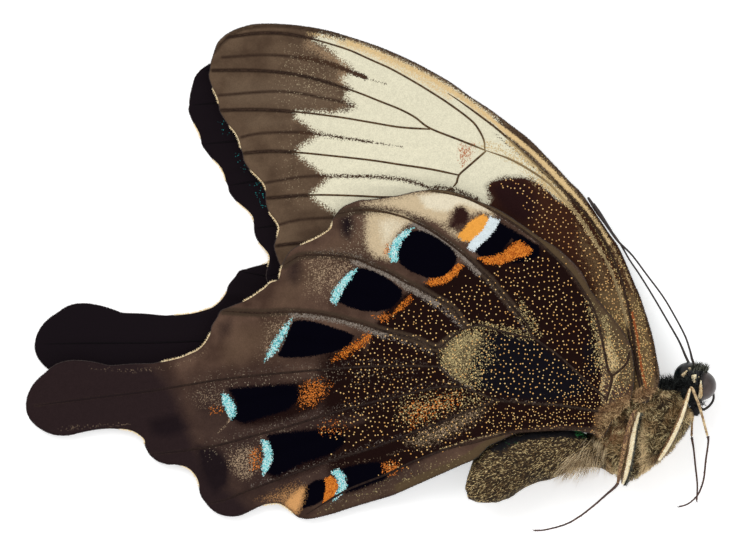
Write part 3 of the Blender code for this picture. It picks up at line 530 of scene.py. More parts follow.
             470, 280),
        area(10, 0.7, 320, 424, 350, 416, 352, 444, 330, 450),
    ],
    "pale_specks": [
        area(20, 0.1, 190, 372, 300, 362, 420, 364, 420, 380, 300, 392, 190, 404),
        area(20, 0.1, 200, 440, 300, 415, 400, 392, 380, 412, 290, 440, 210, 462),
        area(16, 0.12, 345, 205, 376, 205, 376, 256, 340, 250),
        area(20, 0.08, 300, 500, 420, 460, 420, 480, 330, 512),
    ],
}

Wing = namedtuple("Wing", "outline veins folds marks fringes left_pose")
WINGS = {
    "fore": Wing(
        [*FORE_COSTA, *FORE_TERMEN[1:], *FORE_HIDDEN[1:-1]],
        FORE_VEINS, FORE_FOLDS, FORE_MARKS, FORE_FRINGES, LEFT_FORE_POSE,
    ),
    "hind": Wing(
        [*HIND_COSTA, *HIND_TERMEN[1:], *HIND_INNER[1:-1]],
        HIND_VEINS, HIND_FOLDS, HIND_MARKS, HIND_FRINGES, LEFT_HIND_POSE,
    ),
}


# Points and lines


def place(spots):
    """The plane points, in metres, under pixels of the photograph."""
    return (np.asarray(spots, float) - ORIGIN_PX) * (PIXEL, -PIXEL)


def pixels_over(points):
    """The photograph's pixels over points of the frame."""
    return points[:, :2] / (PIXEL, -PIXEL) + ORIGIN_PX


def in_metres(rows):
    """Rows of a pixel, a height in millimetres and a radius in pixels, all in metres."""
    rows = np.array(rows, float)
    return np.column_stack([place(rows[:, :2]), rows[:, 2] / 1000, rows[:, 3:] * PIXEL])


def turn_matrix(degrees):
    """The matrix of a turn in the plane."""
    angle = radians(degrees)
    return np.array(((cos(angle), -sin(angle)), (sin(angle), cos(angle))))


def posed(points, pose):
    """Plane points turned about the wings' base and slipped, as a wing of the pair lies."""
    degrees, slip = pose
    base = place(WING_BASE_PX)
    return base + np.array(slip) + (points - base) @ turn_matrix(degrees).T


def unposed_pixels(points, pose):
    """The pixels that a wing's points have when it lies as a right wing does."""
    degrees, slip = pose
    base = place(WING_BASE_PX)
    return pixels_over(base + (points[:, :2] - base - np.array(slip)) @ turn_matrix(degrees))


def unit(vectors):
    """Vectors, one to a row, at a length of 1."""
    return vectors / np.maximum(np.linalg.norm(vectors, axis=1, keepdims=True), TINY)


def square_to(vectors, axes):
    """The part of vectors that is square to axes of length 1."""
    return vectors - axes * (vectors * axes).sum(1, keepdims=True)


def smooth_line(points, step):
    """Points about a step apart on the smooth curve through the given points."""
    points = np.asarray(points, float)
    line = []
    for i in range(len(points) - 1):
        p1, p2 = points[i], points[i + 1]
        p0 = points[i - 1] if i else 2 * p1 - p2
        p3 = points[i + 2] if i + 2 < len(points) else 2 * p2 - p1
        parts = max(1, round(float(np.linalg.norm(p2 - p1)) / step))
        u = np.arange(parts)[:, None] / parts
        square, cube = 2 * p0 - 5 * p1 + 4 * p2 - p3, 3 * p1 - p0 - 3 * p2 + p3
        line.append((2 * p1 + (p2 - p0) * u + square * u**2 + cube * u**3) / 2)
    return np.vstack([*line, points[-1:]])


def ease(u):
    """Rises smoothly from 0 to 1 as u does."""
    u = np.clip(u, 0, 1)
    return u * u * (3 - 2 * u)


def line_distance(spots, line):
    """How far each spot lies from a line."""
    best = np.full(len(spots), np.inf)
    for a, b in zip(line, line[1:]):
        along = b - a
        share = np.clip(((spots - a) @ along) / max(along @ along, TINY), 0, 1)
        best = np.minimum(best, np.linalg.norm(spots - a - share[:, None] * along, axis=1))
    return best


def nearest(spots, lines):
    """How far each spot lies from the nearest of some lines."""
    return np.min([line_distance(spots, np.array(line, float)) for line in lines], axis=0)


def depth_inside(spots, outline):
    """How far each spot lies inside a closed outline; negative outside it."""
    ring = np.vstack([outline, outline[:1]])
    inside = np.zeros(len(spots), bool)
    x, y = spots.T
    for (ax, ay), (bx, by) in zip(ring, ring[1:]):
        if ay != by:
            inside ^= ((ay > y) != (by > y)) & (x < ax + (bx - ax) * (y - ay) / (by - ay))
    return np.where(inside, 1, -1) * line_distance(spots, ring)


def cover(spots, marks):
    """How strongly marks cover each spot, from 0 to 1."""
    total = np.zeros(len(spots))
    for soft, strength, points, *half in marks:
        points = np.array(points, float)
        reach = soft + (half[0] if half else 0)
        near = np.all((spots > points.min(0) - reach) & (spots < points.max(0) + reach), axis=1)
        if half:
            depth = half[0] - line_distance(spots[near], smooth_line(points, MARK_STEP_PX))
        else:
            closed = smooth_line(np.vstack([points, points[:1]]), MARK_STEP_PX)
            depth = depth_inside(spots[near], closed[:-1])
        total[near] = np.maximum(total[near], strength * ease(0.5 + depth / (2 * soft)))
    return total


# Objects


def new_object(name, data):
    """An object in the scene with its mesh or other data."""
    obj = bpy.data.objects.new(name, data)
    bpy.context.scene.collection.objects.link(obj)
    return obj


def deselect():
    """Leaves nothing selected."""
    bpy.ops.object.select_all(action="DESELECT")


def take(obj):
    """Selects one object alone and makes it the active one."""
    deselect()
    obj.select_set(True)
    bpy.context.view_layer.objects.active = obj


def points_of(mesh):
    """A mesh's vertices as an array."""
    flat = np.empty(len(mesh.vertices) * 3)
    mesh.vertices.foreach_get("co", flat)
    return flat.reshape(-1, 3)


def normals_of(mesh):
    """The normals at a mesh's vertices as an array."""
    return np.array([n.vector for n in mesh.vertex_normals])


def move_points(mesh, points):
    """Puts a mesh's vertices at the points of an array."""
    mesh.vertices.foreach_set("co", np.asarray(points, float).ravel())
    mesh.update()


def paint(mesh, name, values):
    """Stores a value for each vertex, which materials read by its name."""
    attribute = mesh.attributes.new(name, "FLOAT", "POINT")
    attribute.data.foreach_set("value", np.asarray(values, np.float32))


def paint_marks(mesh, marks, pixels, each=1):
    """Stores each mark's cover at the pixels of a mesh's points, or of its hairs' roots."""
    for mark, shapes in marks.items():
        paint(mesh, mark, np.repeat(cover(pixels, shapes), each))


def apply_modifier(obj, kind, **settings):
    """Gives an object a modifier and applies it."""
    modifier = obj.modifiers.new(kind.title(), kind)
    for key, value in settings.items():
        setattr(modifier, key, value)
    bpy.ops.object.modifier_apply(modifier=modifier.name)


def finish_piece(obj, name, material, slot, *nodes):
    """Finishes a piece, which rides on the part's body and stands for its solids."""
    obj.name = name
    obj.data.name = name
    obj.data.materials.append(material)
    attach(obj, "root")
    if nodes:
        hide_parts(*nodes)


# Materials


def srgb(red, green, blue):
    """A picture colour, from 0 to 255, as a linear shader colour."""
    shares = [v / 255 for v in (red, green, blue)]
    return (*[v / 12.92 if v <= 0.04045 else ((v + 0.055) / 1.055) ** 2.4 for v in shares], 1.0)


def darker(colour, share):
    """A picture colour with each of its values at a share of itself."""
    return [v * share for v in colour]


class Shading:
    """A material whose nodes are added one after another.

    A colour is given as a node's socket or as a picture colour from 0 to 255.
    """

    def __init__(self, name, roughness, **settings):
        self.material = bpy.data.materials.new(name)
        self.material.use_nodes = True
        self.tree = self.material.node_tree
        self.shader = self.tree.nodes["Principled BSDF"]
        for socket, value in {"Roughness": roughness, **settings}.items():
            self.shader.inputs[socket.replace("_", " ")].default_value = value
        self.coordinates = self.add("TexCoord", {}).outputs["Object"]

    def fill(self, socket, source):
        """Links a socket to another or sets its value."""
        if isinstance(source, bpy.types.NodeSocket):
            self.tree.links.new(source, socket)
        else:
            socket.default_value = source

    def colour(self, source):
        """A socket as it is, or a picture colour as a shader colour."""
        return source if isinstance(source, bpy.types.NodeSocket) else srgb(*source)

    def add(self, kind, links, **settings):
        """A node with its settings, and links or values for its sockets by name or number."""
        node = self.tree.nodes.new(f"ShaderNode{kind}")
        for key, value in settings.items():
            setattr(node, key, value)
        for socket, source in links.items():
            self.fill(node.inputs[socket], source)
        return node

    def value(self, name):
        """A value stored on the mesh."""
        return self.add("Attribute", {}, attribute_name=name).outputs["Fac"]

    def math(self, operation, *values):
        """An arithmetic node's result."""
        return self.add("Math", dict(enumerate(values)), operation=operation).outputs[0]

    def noise(self, scale, detail=3.0):
        """Smooth noise between 0 and 1, with about scale waves to a millimetre."""
        links = {"Vector": self.coordinates, "Scale": scale * 1000, "Detail": detail}
        return self.add("TexNoise", links).outputs["Fac"]

    def cells(self, scale, randomness=1.0, dimensions="3D"):
        """A cell texture with about scale cells to a millimetre."""
        links = {"Vector": self.coordinates, "Scale": scale * 1000, "Randomness": randomness}
        return self.add("TexVoronoi", links, voronoi_dimensions=dimensions)

    def chance(self, cells, seed):
        """A random number for each cell."""
        links = {"Vector": cells.outputs["Position"], "W": seed}
        return self.add("TexWhiteNoise", links, noise_dimensions="4D").outputs["Value"]

    def mix(self, share, first, second, blend="MIX"):
        """The first colour where share is 0, the second where it is 1."""
        links = {0: share, 6: self.colour(first), 7: self.colour(second)}
        return self.add("Mix", links, data_type="RGBA", blend_type=blend).outputs[2]

    def stain(self, mark, first, second):
        """The first colour, but the second where a stored mark covers the surface."""
        return self.mix(self.value(mark), first, second)

    def mottle(self, noise, low, high, first, second):
        """The first colour where a noise is low, the second where it is high."""
        return self.mix(self.between(noise, low, high), first, second)

    def ramp(self, value, *stops):
        """Colours along a value, given as pairs of place and colour."""
        node = self.add("ValToRGB", {0: value})
        elements = node.color_ramp.elements
        while len(elements) < len(stops):
            elements.new(0.5)
        for element, (spot, colour) in zip(elements, stops):
            element.position = spot
            element.color = srgb(*colour)
        return node.outputs[0]

    def between(self, value, low, high):
        """0 where a value is low, 1 where it is high, and even in between."""
        return self.add("MapRange", {0: value, 1: low, 2: high}, clamp=True).outputs[0]

    def scatter(self, amount, chance, grain):
        """Where a mark lies: its soft edge breaks up into single scales as grain nears 1."""
        width = 0.5 * (1 - grain) + 0.03
        spread = self.math("MULTIPLY_ADD", amount, 1 + 2 * width, -width)
        lifted = self.math("MULTIPLY_ADD", self.math("SUBTRACT", chance, 0.5), grain, spread)
        return self.between(lifted, 0.5 - width, 0.5 + width)

    def bump(self, height, distance, strength=1.0, after=None):
        """A bump normal from a height."""
        links = {"Height": height, "Distance": distance, "Strength": strength}
        if after is not None:
            links["Normal"] = after
        return self.add("Bump", links).outputs["Normal"]

    def finish(self, colour, normal=None):
        """The material with its shader's colour and, where given, its normal."""
        self.fill(self.shader.inputs["Base Color"], self.colour(colour))
        if normal is not None:
            self.fill(self.shader.inputs["Normal"], normal)
        return self.material


# Wings

# Each mark's colour, and how far its edge breaks up into single scales
FORE_PAINT = (
    ("pale_brown", (114, 95, 77), 0.1),
    ("vein_shade", (50, 37, 29), 0.15),
    ("fold_shade", (60, 45, 36), 0.15),
    ("cream_edge", (162, 134, 104), 0.5),
    ("cream", (240, 234, 206), 0.72),
    ("fold_streak", (72, 52, 39), 0.75),
    ("cell_rust", (194, 132, 96), 0.9),
    ("basal_patch", (60, 34, 24), 0.5),
    ("patch_shade", (40, 21, 21), 0.1),
    ("root_olive", (106, 85, 59), 0.5),
    ("costal_cream", (218, 192, 142), 0.85),
    ("costal_tan", (234, 202, 148), 0.5),
    ("costal_pepper", (58, 44, 32), 0.7),
    ("costal_rust", (158, 84, 46), 0.3),
    ("gold_dust", (196, 168, 112), 1.0),
    ("pale_specks", (176, 158, 128), 0.95),
)
HIND_PAINT = (
    ("pale_brown", (106, 84, 66), 0.1),
    ("vein_shade", (50, 36, 30), 0.15),
    ("tail_shade", (45, 33, 34), 0.1),
    ("blotch", (32, 23, 26), 0.15),
    ("dark_disc", (30, 15, 13), 0.3),
    ("cell_blue", (18, 16, 22), 0.3),
    ("cell_olive", (94, 80, 58), 0.5),
    ("vein_olive", (70, 56, 45), 0.3),
    ("vein_lilac", (134, 123, 113), 0.8),
    ("cream", (216, 194, 158), 0.5),
    ("bright_cream", (242, 230, 202), 0.4),
    ("pink_dust", (164, 140, 114), 0.8),
    ("pale_specks", (176, 160, 136), 0.95),
    ("eyespots", (3, 2, 11), 0.6),
    ("brown_spot", (50, 29, 26), 0.5),
    ("orange", (228, 128, 44), 0.95),
    ("rust_dust", (188, 108, 46), 0.97),
    ("amber", (250, 172, 74), 0.7),
    ("tornus_tan", (222, 164, 104), 0.45),
    ("blue", (150, 222, 226), 0.95),
    ("ice", (230, 242, 246), 0.85),
    ("root_brown", (90, 73, 53), 0.4),
    ("gold_dust", (176, 158, 112), 1.0),
    ("root_cream", (214, 188, 138), 0.7),
    ("root_rust", (112, 86, 62), 0.6),
)
BLUES = (
    (0.0, (56, 148, 166)), (0.3, (128, 218, 220)), (0.65, (172, 236, 234)), (1.0, (248, 255, 252)),
)
ORANGES = ((156, 68, 20), (248, 150, 56))
# How much the scales of a dust differ in tone
DUST_SPREADS = {"vein_lilac": 0.15, "gold_dust": 0.15, "pink_dust": 0.15, "rust_dust": 0.35}
# Golden dots: their mark, how close they are and their radius, both in the dots' own measure
GOLDEN_DOTS = (("gold_dots", 1.0, 0.115), ("fine_dots", 1.4, 0.14))
# Marks of the wing that its veins show as well
VEIN_MARKS = ("cream", "costal_cream", "dark_disc", "tail_shade")

# Cells of a wing's grid around its outline, and how far outside it they are still shaped
GRID_BORDER = 2
GRID_REACH = 3

Surface = namedtuple("Surface", "grid low step")


def layer_colour(s, scales, number, mark, colour):
    """A mark's colour, which changes from scale to scale in blue, orange and dust."""
    if mark == "blue":
        return s.ramp(s.chance(scales, 40.5), *BLUES)
    if mark == "orange":
        return s.mix(s.chance(scales, 41.5), *ORANGES)
    if mark in DUST_SPREADS:
        spread = DUST_SPREADS[mark]
        pale = [min(255, v * (1 + spread)) for v in colour]
        return s.mix(s.chance(scales, number + 60.5), darker(colour, 0.95 - spread), pale)
    return colour


def wing_material(name, layers, ground, dot_colours):
    """A wing's scales: its underside marks on one face, black with blue-green on the other."""
    look = bpy.context.scene.swallowtail_wings
    s = Shading(name, 0.75, Specular_IOR_Level=0.02)
    scales = s.cells(look.scales_per_mm, 1.0, "2D")
    cloud = s.noise(0.35, 4.0)
    tone = s.noise(2.2, 4.0)
    colour = s.mottle(cloud, 0.36, 0.64, *ground)
    for number, (mark, paint_colour, grain) in enumerate(layers):
        shown = s.scatter(s.value(mark), s.chance(scales, number + 0.5), grain)
        own = layer_colour(s, scales, number, mark, paint_colour)
        colour = s.mix(shown, colour, own)
    for mark, closeness, radius in GOLDEN_DOTS:
        dots = s.cells(look.dots_per_mm * closeness, 0.8, "2D")
        size = s.math("MULTIPLY_ADD", s.chance(dots, 8.5), -0.03, dots.outputs["Distance"])
        ragged = s.math("MULTIPLY_ADD", s.math("SUBTRACT", tone, 0.5), 0.06, size)
        near_centre = s.between(ragged, radius + 0.02, radius - 0.02)
        wanted = s.math("LESS_THAN", s.chance(dots, 9.5), s.math("MULTIPLY", s.value(mark), 0.93))
        dot = s.math("MULTIPLY", near_centre, wanted)
        colour = s.mix(dot, colour, s.mix(s.chance(dots, 10.5), *dot_colours))
    shade = s.math("MULTIPLY_ADD", s.chance(scales, 33.5), 0.16, 0.80)
    shade = s.math("MULTIPLY", shade, s.math("MULTIPLY_ADD", tone, 0.20, 0.90))
    grey = s.add("CombineXYZ", {0: shade, 1: shade, 2: shade}).outputs[0]
    colour = s.mix(1.0, colour, grey, "MULTIPLY")
    gleam = s.scatter(s.value("blue_green"), s.chance(scales, 50.5), 1.0)
    colour = s.stain("inner", colour, s.mix(gleam, (24, 18, 22), (40, 150, 150)))
    rows = s.bump(scales.outputs["Distance"], 0.00003, 0.35)
    return s.finish(colour, s.bump(tone, 0.00005, 0.35, rows))


def even_heights(grid, rounds):
    """Evens out heights on a grid, and carries them past the spots where they are known."""
    known = np.isfinite(grid)
    weight = known.astype(float)
    total = np.where(known, grid, 0.0)
    for _ in range(rounds):
        for array in (weight, total):
            padded = np.pad(array, 1, mode="edge")
            array += padded[2:, 1:-1] + padded[:-2, 1:-1] + padded[1:-1, 2:] + padded[1:-1, :-2]
            array /= 5
    return np.divide(total, weight, out=np.zeros_like(total), where=weight > 0)


def height_at(surface, spots):
    """A surface's heights at plane points, evenly between those of its grid."""
    grid, low, step = surface
    on_grid = (spots - low) / step
    rows, columns = grid.shape
    j = np.clip(on_grid[:, 0].astype(int), 0, columns - 2)
    i = np.clip(on_grid[:, 1].astype(int), 0, rows - 2)
    u = np.clip(on_grid[:, 0] - j, 0, 1)
    v = np.clip(on_grid[:, 1] - i, 0, 1)
    upper = grid[i + 1, j] * (1 - u) + grid[i + 1, j + 1] * u
    lower = grid[i, j] * (1 - u) + grid[i, j + 1] * u
    return lower * (1 - v) + upper * v


def solid_tree(name):
    """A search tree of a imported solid's faces."""
    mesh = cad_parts[name].data
    return BVHTree.FromPolygons([v.co for v in mesh.vertices], [p.vertices for p in mesh.polygons])


def relief(pixels, wing):
    """How far a membrane stands up at its veins and lies back between them, in metres."""
    look = bpy.context.scene.swallowtail_wings
    vein, fold = nearest(pixels, wing.veins), nearest(pixels, wing.folds)
    raised = look.vein_relief * (1 - ease(vein / 6))
    sunk = raised - look.fold_depth * (1 - ease(fold / 8))
    return sunk + look.fold_depth * 0.5 * ease(vein / 14) * ease(fold / 12)


def faces_inside(corners, depth):
    """Which faces lie inside an outline, without single ones that would stick out at it."""
    kept = (depth[corners] > 0).all(1)
    for _ in range(2):
        sharing = {}
        for face in np.nonzero(kept)[0]:
            ring = corners[face]
            for a, b in zip(ring, np.roll(ring, -1)):
                sharing.setdefault((min(a, b), max(a, b)), []).append(face)
        joined = np.zeros(len(kept), int)
        for faces in sharing.values():
            if len(faces) == 2:
                joined[faces] += 1
        kept &= joined > 1
    return kept


def delete_faces(mesh, gone):
    """Deletes faces of the active object's mesh."""
    bpy.context.tool_settings.mesh_select_mode = (False, False, True)
    mesh.polygons.foreach_set("select", gone)
    bpy.ops.object.mode_set(mode="EDIT")
    bpy.ops.mesh.delete(type="FACE")
    bpy.ops.object.mode_set(mode="OBJECT")


def rim_of(mesh):
    """The vertices along a mesh's open edge."""
    uses = Counter(key for polygon in mesh.polygons for key in polygon.edge_keys)
    return sorted({vertex for key, count in uses.items() if count == 1 for vertex in key})


def wing_sheet(name, wing, pose, step, downward):
    """A thin wing shaped from a grid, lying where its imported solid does, and its surface."""
    look = bpy.context.scene.swallowtail_wings
    edge = posed(place(wing.outline), pose)
    low = edge.min(0) - GRID_BORDER * step
    size = np.ceil((edge.max(0) + GRID_BORDER * step - low) / step).astype(int)
    deselect()
    columns, rows = (int(number) for number in size)
    bpy.ops.mesh.primitive_grid_add(x_subdivisions=columns, y_subdivisions=rows, size=1)
    obj = bpy.context.object
    mesh = obj.data
    points = points_of(mesh)
    points[:, :2] = low + (points[:, :2] + 0.5) * size * step
    order = np.lexsort((points[:, 0].round(9), points[:, 1].round(9)))
    depth = depth_inside(points[:, :2], edge)
    near = depth > -GRID_REACH * step
    tree = solid_tree(name)
    heights = np.full(len(points), np.nan)
    for k in np.nonzero(near)[0]:
        hit = tree.ray_cast(Vector((points[k, 0], points[k, 1], -1)), Vector(UP))[0]
        if hit is not None:
            heights[k] = hit.z
    grid = heights[order].reshape(rows + 1, columns + 1)
    points[order, 2] = even_heights(grid, round(EVEN_WIDTH**2 * 2.5 / step**2)).ravel()
    lift = np.zeros(len(points))
    lift[near] = relief(unposed_pixels(points, pose)[near], wing) * (-1 if downward else 1)
    points[:, 2] = points[:, 2] + look.level + lift
    surface = Surface(points[order, 2].reshape(grid.shape), low, step)
    move_points(mesh, points)
    delete_faces(mesh, ~faces_inside(np.array([p.vertices for p in mesh.polygons]), depth))

    # The edge's points move onto the outline itself
    points = points_of(mesh)
    rim = rim_of(mesh)
    fine = smooth_line(np.vstack([edge, edge[:1]]), step / 3)
    for k in rim:
        points[k, :2] = fine[np.argmin(((fine - points[k, :2]) ** 2).sum(1))]
    points[rim, 2] = height_at(surface, points[rim, :2])
    move_points(mesh, points)

    pixels = unposed_pixels(points, pose)
    paint_marks(mesh, wing.marks, pixels)
    gleam = 0.55 * (1 - ease((np.hypot(*(pixels - WING_BASE_PX).T) - 160) / 90))
    paint(mesh, "blue_green", cover(pixels_over(points), GLINTS) + gleam)
    apply_modifier(obj, "SOLIDIFY", thickness=look.membrane, offset=-1)
    first_face = np.arange(len(mesh.vertices)) < len(points)
    paint(mesh, "inner", first_face == downward)
    mesh.shade_smooth()
    return obj, surface


def tube(name, lines, resolution=2):
    """Round tubes along lines, each a pair of points and radii, as one mesh."""
    curve = bpy.data.curves.new(name, "CURVE")
    curve.dimensions = "3D"
    curve.bevel_depth = 1.0
    curve.bevel_resolution = resolution
    curve.use_fill_caps = True
    for points, radii in lines:
        spline = curve.splines.new("POLY")
        spline.points.add(len(points) - 1)
        spline.points.foreach_set("co", np.column_stack([points, np.ones(len(points))]).ravel())
        spline.points.foreach_set("radius", radii.astype(np.float32))
    take(new_object(name, curve))
    bpy.ops.object.convert(target="MESH")
    obj = bpy.context.object
    obj.data.shade_smooth()
    return obj


def points_in(parts):
    """How many points a hair or scale of so many parts has."""
    return 2 * parts + 1


def blades(name, roots, tips, widths, bows=0.0, sides=None, parts=HAIR_PARTS):
    """Thin tapered hairs or scales from roots to tips, as one mesh."""
    along = tips - roots
    lengths = np.linalg.norm(along, axis=1, keepdims=True)
    if sides is None:
        sides = np.cross(along, UP)
    overlap = (sides * along).sum(1, keepdims=True)
    sides = unit(sides - along * overlap / np.maximum(lengths**2, TINY))
    rows = []
    for k in range(parts):
        share = k / parts
        middle = roots + along * share + bows * (4 * share * (1 - share))
        half = sides * widths * (1 - share * 0.55) / 2
        rows += [middle - half, middle + half]
    points = np.concatenate([np.stack(rows, 1), tips[:, None]], 1)
    each = points_in(parts)
    starts = range(0, len(roots) * each, each)
    quads = [(2 * k, 2 * k + 1, 2 * k + 3, 2 * k + 2) for k in range(parts - 1)]
    faces = [tuple(start + v for v in quad) for start in starts for quad in quads]
    faces += [(start + each - 3, start + each - 2, start + each - 1) for start in starts]
    mesh = bpy.data.meshes.new(name)
    mesh.from_pydata(points.reshape(-1, 3).tolist(), [], faces)
    return new_object(name, mesh)


def spread_map(mesh, spots, each):
    """Gives every hair or scale a small patch of map at its own place on the unwrap."""
    layer = mesh.uv_layers.new(name="OFBake")
    vertex = np.empty(len(mesh.loops), int)
    mesh.loops.foreach_get("vertex_index", vertex)
    part = vertex % each
    offset = np.column_stack([(part % 2), part / each]) * MAP_PATCH
    layer.data.foreach_set("uv", (spots[vertex // each] + offset).astype(np.float32).ravel())


def shuffle_strands(mesh, chance, each):
    """Gives every strand a random tone and a random place on the map."""
    count = len(mesh.vertices) // each
    paint(mesh, "chance", np.repeat(chance.random(count), each))
    spread_map(mesh, chance.uniform(MAP_LOW, MAP_HIGH, (count, 2)), each)


class SwallowtailWingLooks(bpy.types.PropertyGroup):
    """Sizes of the wings' membranes, veins and scales."""

    membrane: FloatProperty(
        name="Membrane", description="Thickness of a wing", default=0.00006, unit="LENGTH"
    )
    level: FloatProperty(
        name="Level",
        description="Height of a membrane above its solid's lower face",
        default=0.00028,
        unit="LENGTH",
    )
    vein_relief: FloatProperty(
        name="Vein relief",
        description="How far the membrane rises towards a vein",
        default=0.00004,
        unit="LENGTH",
    )
    fold_depth: FloatProperty(
        name="Fold depth",
        description="How far the membrane dips at a fold",
        default=0.00009,
        unit="LENGTH",
    )
    vein_radius: FloatProperty(
        name="Vein radius",
        description="A vein's radius near the wing's base",
        default=0.00013,
        unit="LENGTH",
    )
    scales_per_mm: FloatProperty(
        name="Scales per mm", description="Wing scales along a millimetre", default=13.0
    )
    dots_per_mm: FloatProperty(
        name="Dots per mm", description="Golden dots along a millimetre", default=2.2
    )
    right_step: FloatProperty(
        name="Right mesh step",
        description="Mesh size of the right wings",
        default=0.00015,
        unit="LENGTH",
    )
    left_step: FloatProperty(
        name="Left mesh step",
        description="Mesh size of the left wings",
        default=0.0002,
        unit="LENGTH",
    )


def vein_lines(wing, pose, surface):
    """The points and radii of a wing's veins, which thin out from its base to their ends."""
    look = bpy.context.scene.swallowtail_wings
    lines = []
    for vein in wing.veins:
        flat = posed(place(smooth_line(vein, VEIN_STEP_PX)), pose)
        share = np.linspace(0, 1, len(flat))
        from_base = np.clip(np.hypot(*(place(WING_BASE_PX) - flat).T) / 0.05, 0, 1)
        radii = look.vein_radius * (1 - 0.3 * from_base) * np.minimum(1, 0.75 + share * 4)
        radii = radii * np.minimum(1, (1 - share) * 6 + 0.45)
        level = height_at(surface, flat) - look.membrane / 2
        lines.append((np.column_stack([flat, level]), radii))
    return lines


def pale_stretches(margin, fringes):
    """How cream the fringe is along a margin, from 0 to 1, given where its pale runs end."""
    pale = np.zeros(len(margin))
    for ends in fringes:
        first, last = sorted(np.argmin(((margin - end) ** 2).sum(1)) for end in ends)
        run = np.arange(first, last + 1)
        pale[run] = np.minimum(1, np.minimum(run - run[0], run[-1] - run) / 8 + 0.2)
    return pale


def fringe(name, side, wing, pose, surface):
    """The scales that stand out from a wing's margin."""
    look = bpy.context.scene.swallowtail_wings
    margin = smooth_line(wing.outline, MARGIN_STEP_PX)
    ahead = np.gradient(margin, axis=0)
    outward = unit(np.column_stack([ahead[:, 1], -ahead[:, 0]]))
    leaves = depth_inside(margin + outward * 1.5, np.array(wing.outline)) < 0
    outward *= np.where(leaves, 1, -1)[:, None]
    pale = pale_stretches(margin, wing.fringes)
    count = len(margin)
    chance = np.random.default_rng(count + len(side))
    lean = np.column_stack([-outward[:, 1], outward[:, 0]])
    lean = lean * chance.normal(0, 0.25, count)[:, None]
    length = (0.9 + 1.6 * pale) * chance.uniform(0.7, 1.2, count)
    root = margin - outward * (0.5 + 0.5 * pale[:, None])
    tip = root + (outward + lean) * (length + 0.5)[:, None]
    level = height_at(surface, posed(place(margin - outward * 1.5), pose)) - look.membrane / 2
    roots = np.column_stack([posed(place(root), pose), level])
    tip_level = level + chance.normal(0, 0.00002, count)
    tips = np.column_stack([posed(place(tip), pose), tip_level])
    piece = blades(name, roots, tips, 0.00007, parts=FRINGE_PARTS)
    each = points_in(FRINGE_PARTS)
    paint(piece.data, "pale", np.repeat(pale, each))
    paint(piece.data, "chance", np.repeat(chance.uniform(0, 1, count), each))
    spots = np.column_stack([np.linspace(0.01, 0.98, count), np.full(count, 0.5)])
    spread_map(piece.data, spots, each)
    return piece


def dress_wing(side, pair):
    """One wing: its sheet, its veins and the fringe along its margin."""
    look = bpy.context.scene.swallowtail_wings
    wing = WINGS[pair]
    right = side == "right"
    pose = RIGHT_POSE if right else wing.left_pose
    step = look.right_step if right else look.left_step
    node, slot = f"wing_{pair}_{side}", f"{pair}wing"
    sheet, surface = wing_sheet(node, wing, pose, step, not right)
    finish_piece(sheet, f"{node}_scales", bpy.data.materials[f"{slot}_scales"], slot, node)

    name = f"veins_{pair}_{side}"
    piece = tube(name, vein_lines(wing, pose, surface))
    points = points_of(piece.data)
    marks = {mark: wing.marks.get(mark, ()) for mark in VEIN_MARKS}
    paint_marks(piece.data, marks, unposed_pixels(points, pose))
    paint(piece.data, "inner", np.full(len(points), float(not right)))
    finish_piece(piece, name, bpy.data.materials["vein_horn"], slot)

    name = f"fringe_{pair}_{side}"
    piece = fringe(name, side, wing, pose, surface)
    finish_piece(piece, name, bpy.data.materials["fringe_scales"], slot)


class SWALLOWTAIL_OT_wing_materials(bpy.types.Operator):
    """Makes the materials of the wings' scales, veins and fringes."""

    bl_idname = "swallowtail.wing_materials"
    bl_label = "Wing materials"

    def execute(self, context):
        ground = ((84, 66, 52), (108, 88, 70))
        wing_material("forewing_scales", FORE_PAINT, ground, ((222, 162, 96), (248, 208, 142)))
        ground = ((72, 53, 44), (100, 77, 64))
        wing_material("hindwing_scales", HIND_PAINT, ground, ((232, 172, 98), (254, 218, 150)))
        s = Shading("vein_horn", 0.7, Specular_IOR_Level=0.04)
        grain = s.noise(4.0, 3.0)
        plain = s.mottle(grain, 0.35, 0.65, (44, 32, 26), (64, 48, 38))
        pale = s.mottle(grain, 0.4, 0.6, (62, 46, 32), (98, 76, 52))
        dark = s.mottle(grain, 0.35, 0.65, (30, 21, 19), (66, 53, 44))
        colour = s.stain("cream", plain, pale)
        colour = s.stain("costal_cream", colour, (184, 160, 116))
        colour = s.stain("dark_disc", colour, dark)
        colour = s.stain("tail_shade", colour, (36, 26, 27))
        colour = s.stain("inner", colour, (16, 12, 15))
        s.finish(colour, s.bump(grain, 0.00003, 0.4))
        s = Shading("fringe_scales", 0.7)
        pale = s.stain("chance", (232, 200, 146), (250, 232, 192))
        dark = s.stain("chance", (34, 25, 24), (62, 46, 40))
        s.finish(s.stain("pale", dark, pale))
        return {"FINISHED"}


class SWALLOWTAIL_OT_forewings(bpy.types.Operator):
    """Makes the forewings with their veins and fringes."""

    bl_idname = "swallowtail.forewings"
    bl_label = "Forewings"

    def execute(self, context):
        for side in SIDES:
            dress_wing(side, "fore")
        return {"FINISHED"}


class SWALLOWTAIL_OT_hindwings(bpy.types.Operator):
    """Makes the hindwings with their veins and fringes."""

    bl_idname = "swallowtail.hindwings"
    bl_label = "Hindwings"

    def execute(self, context):
        for side in SIDES:
            dress_wing(side, "hind")
        return {"FINISHED"}


# Body

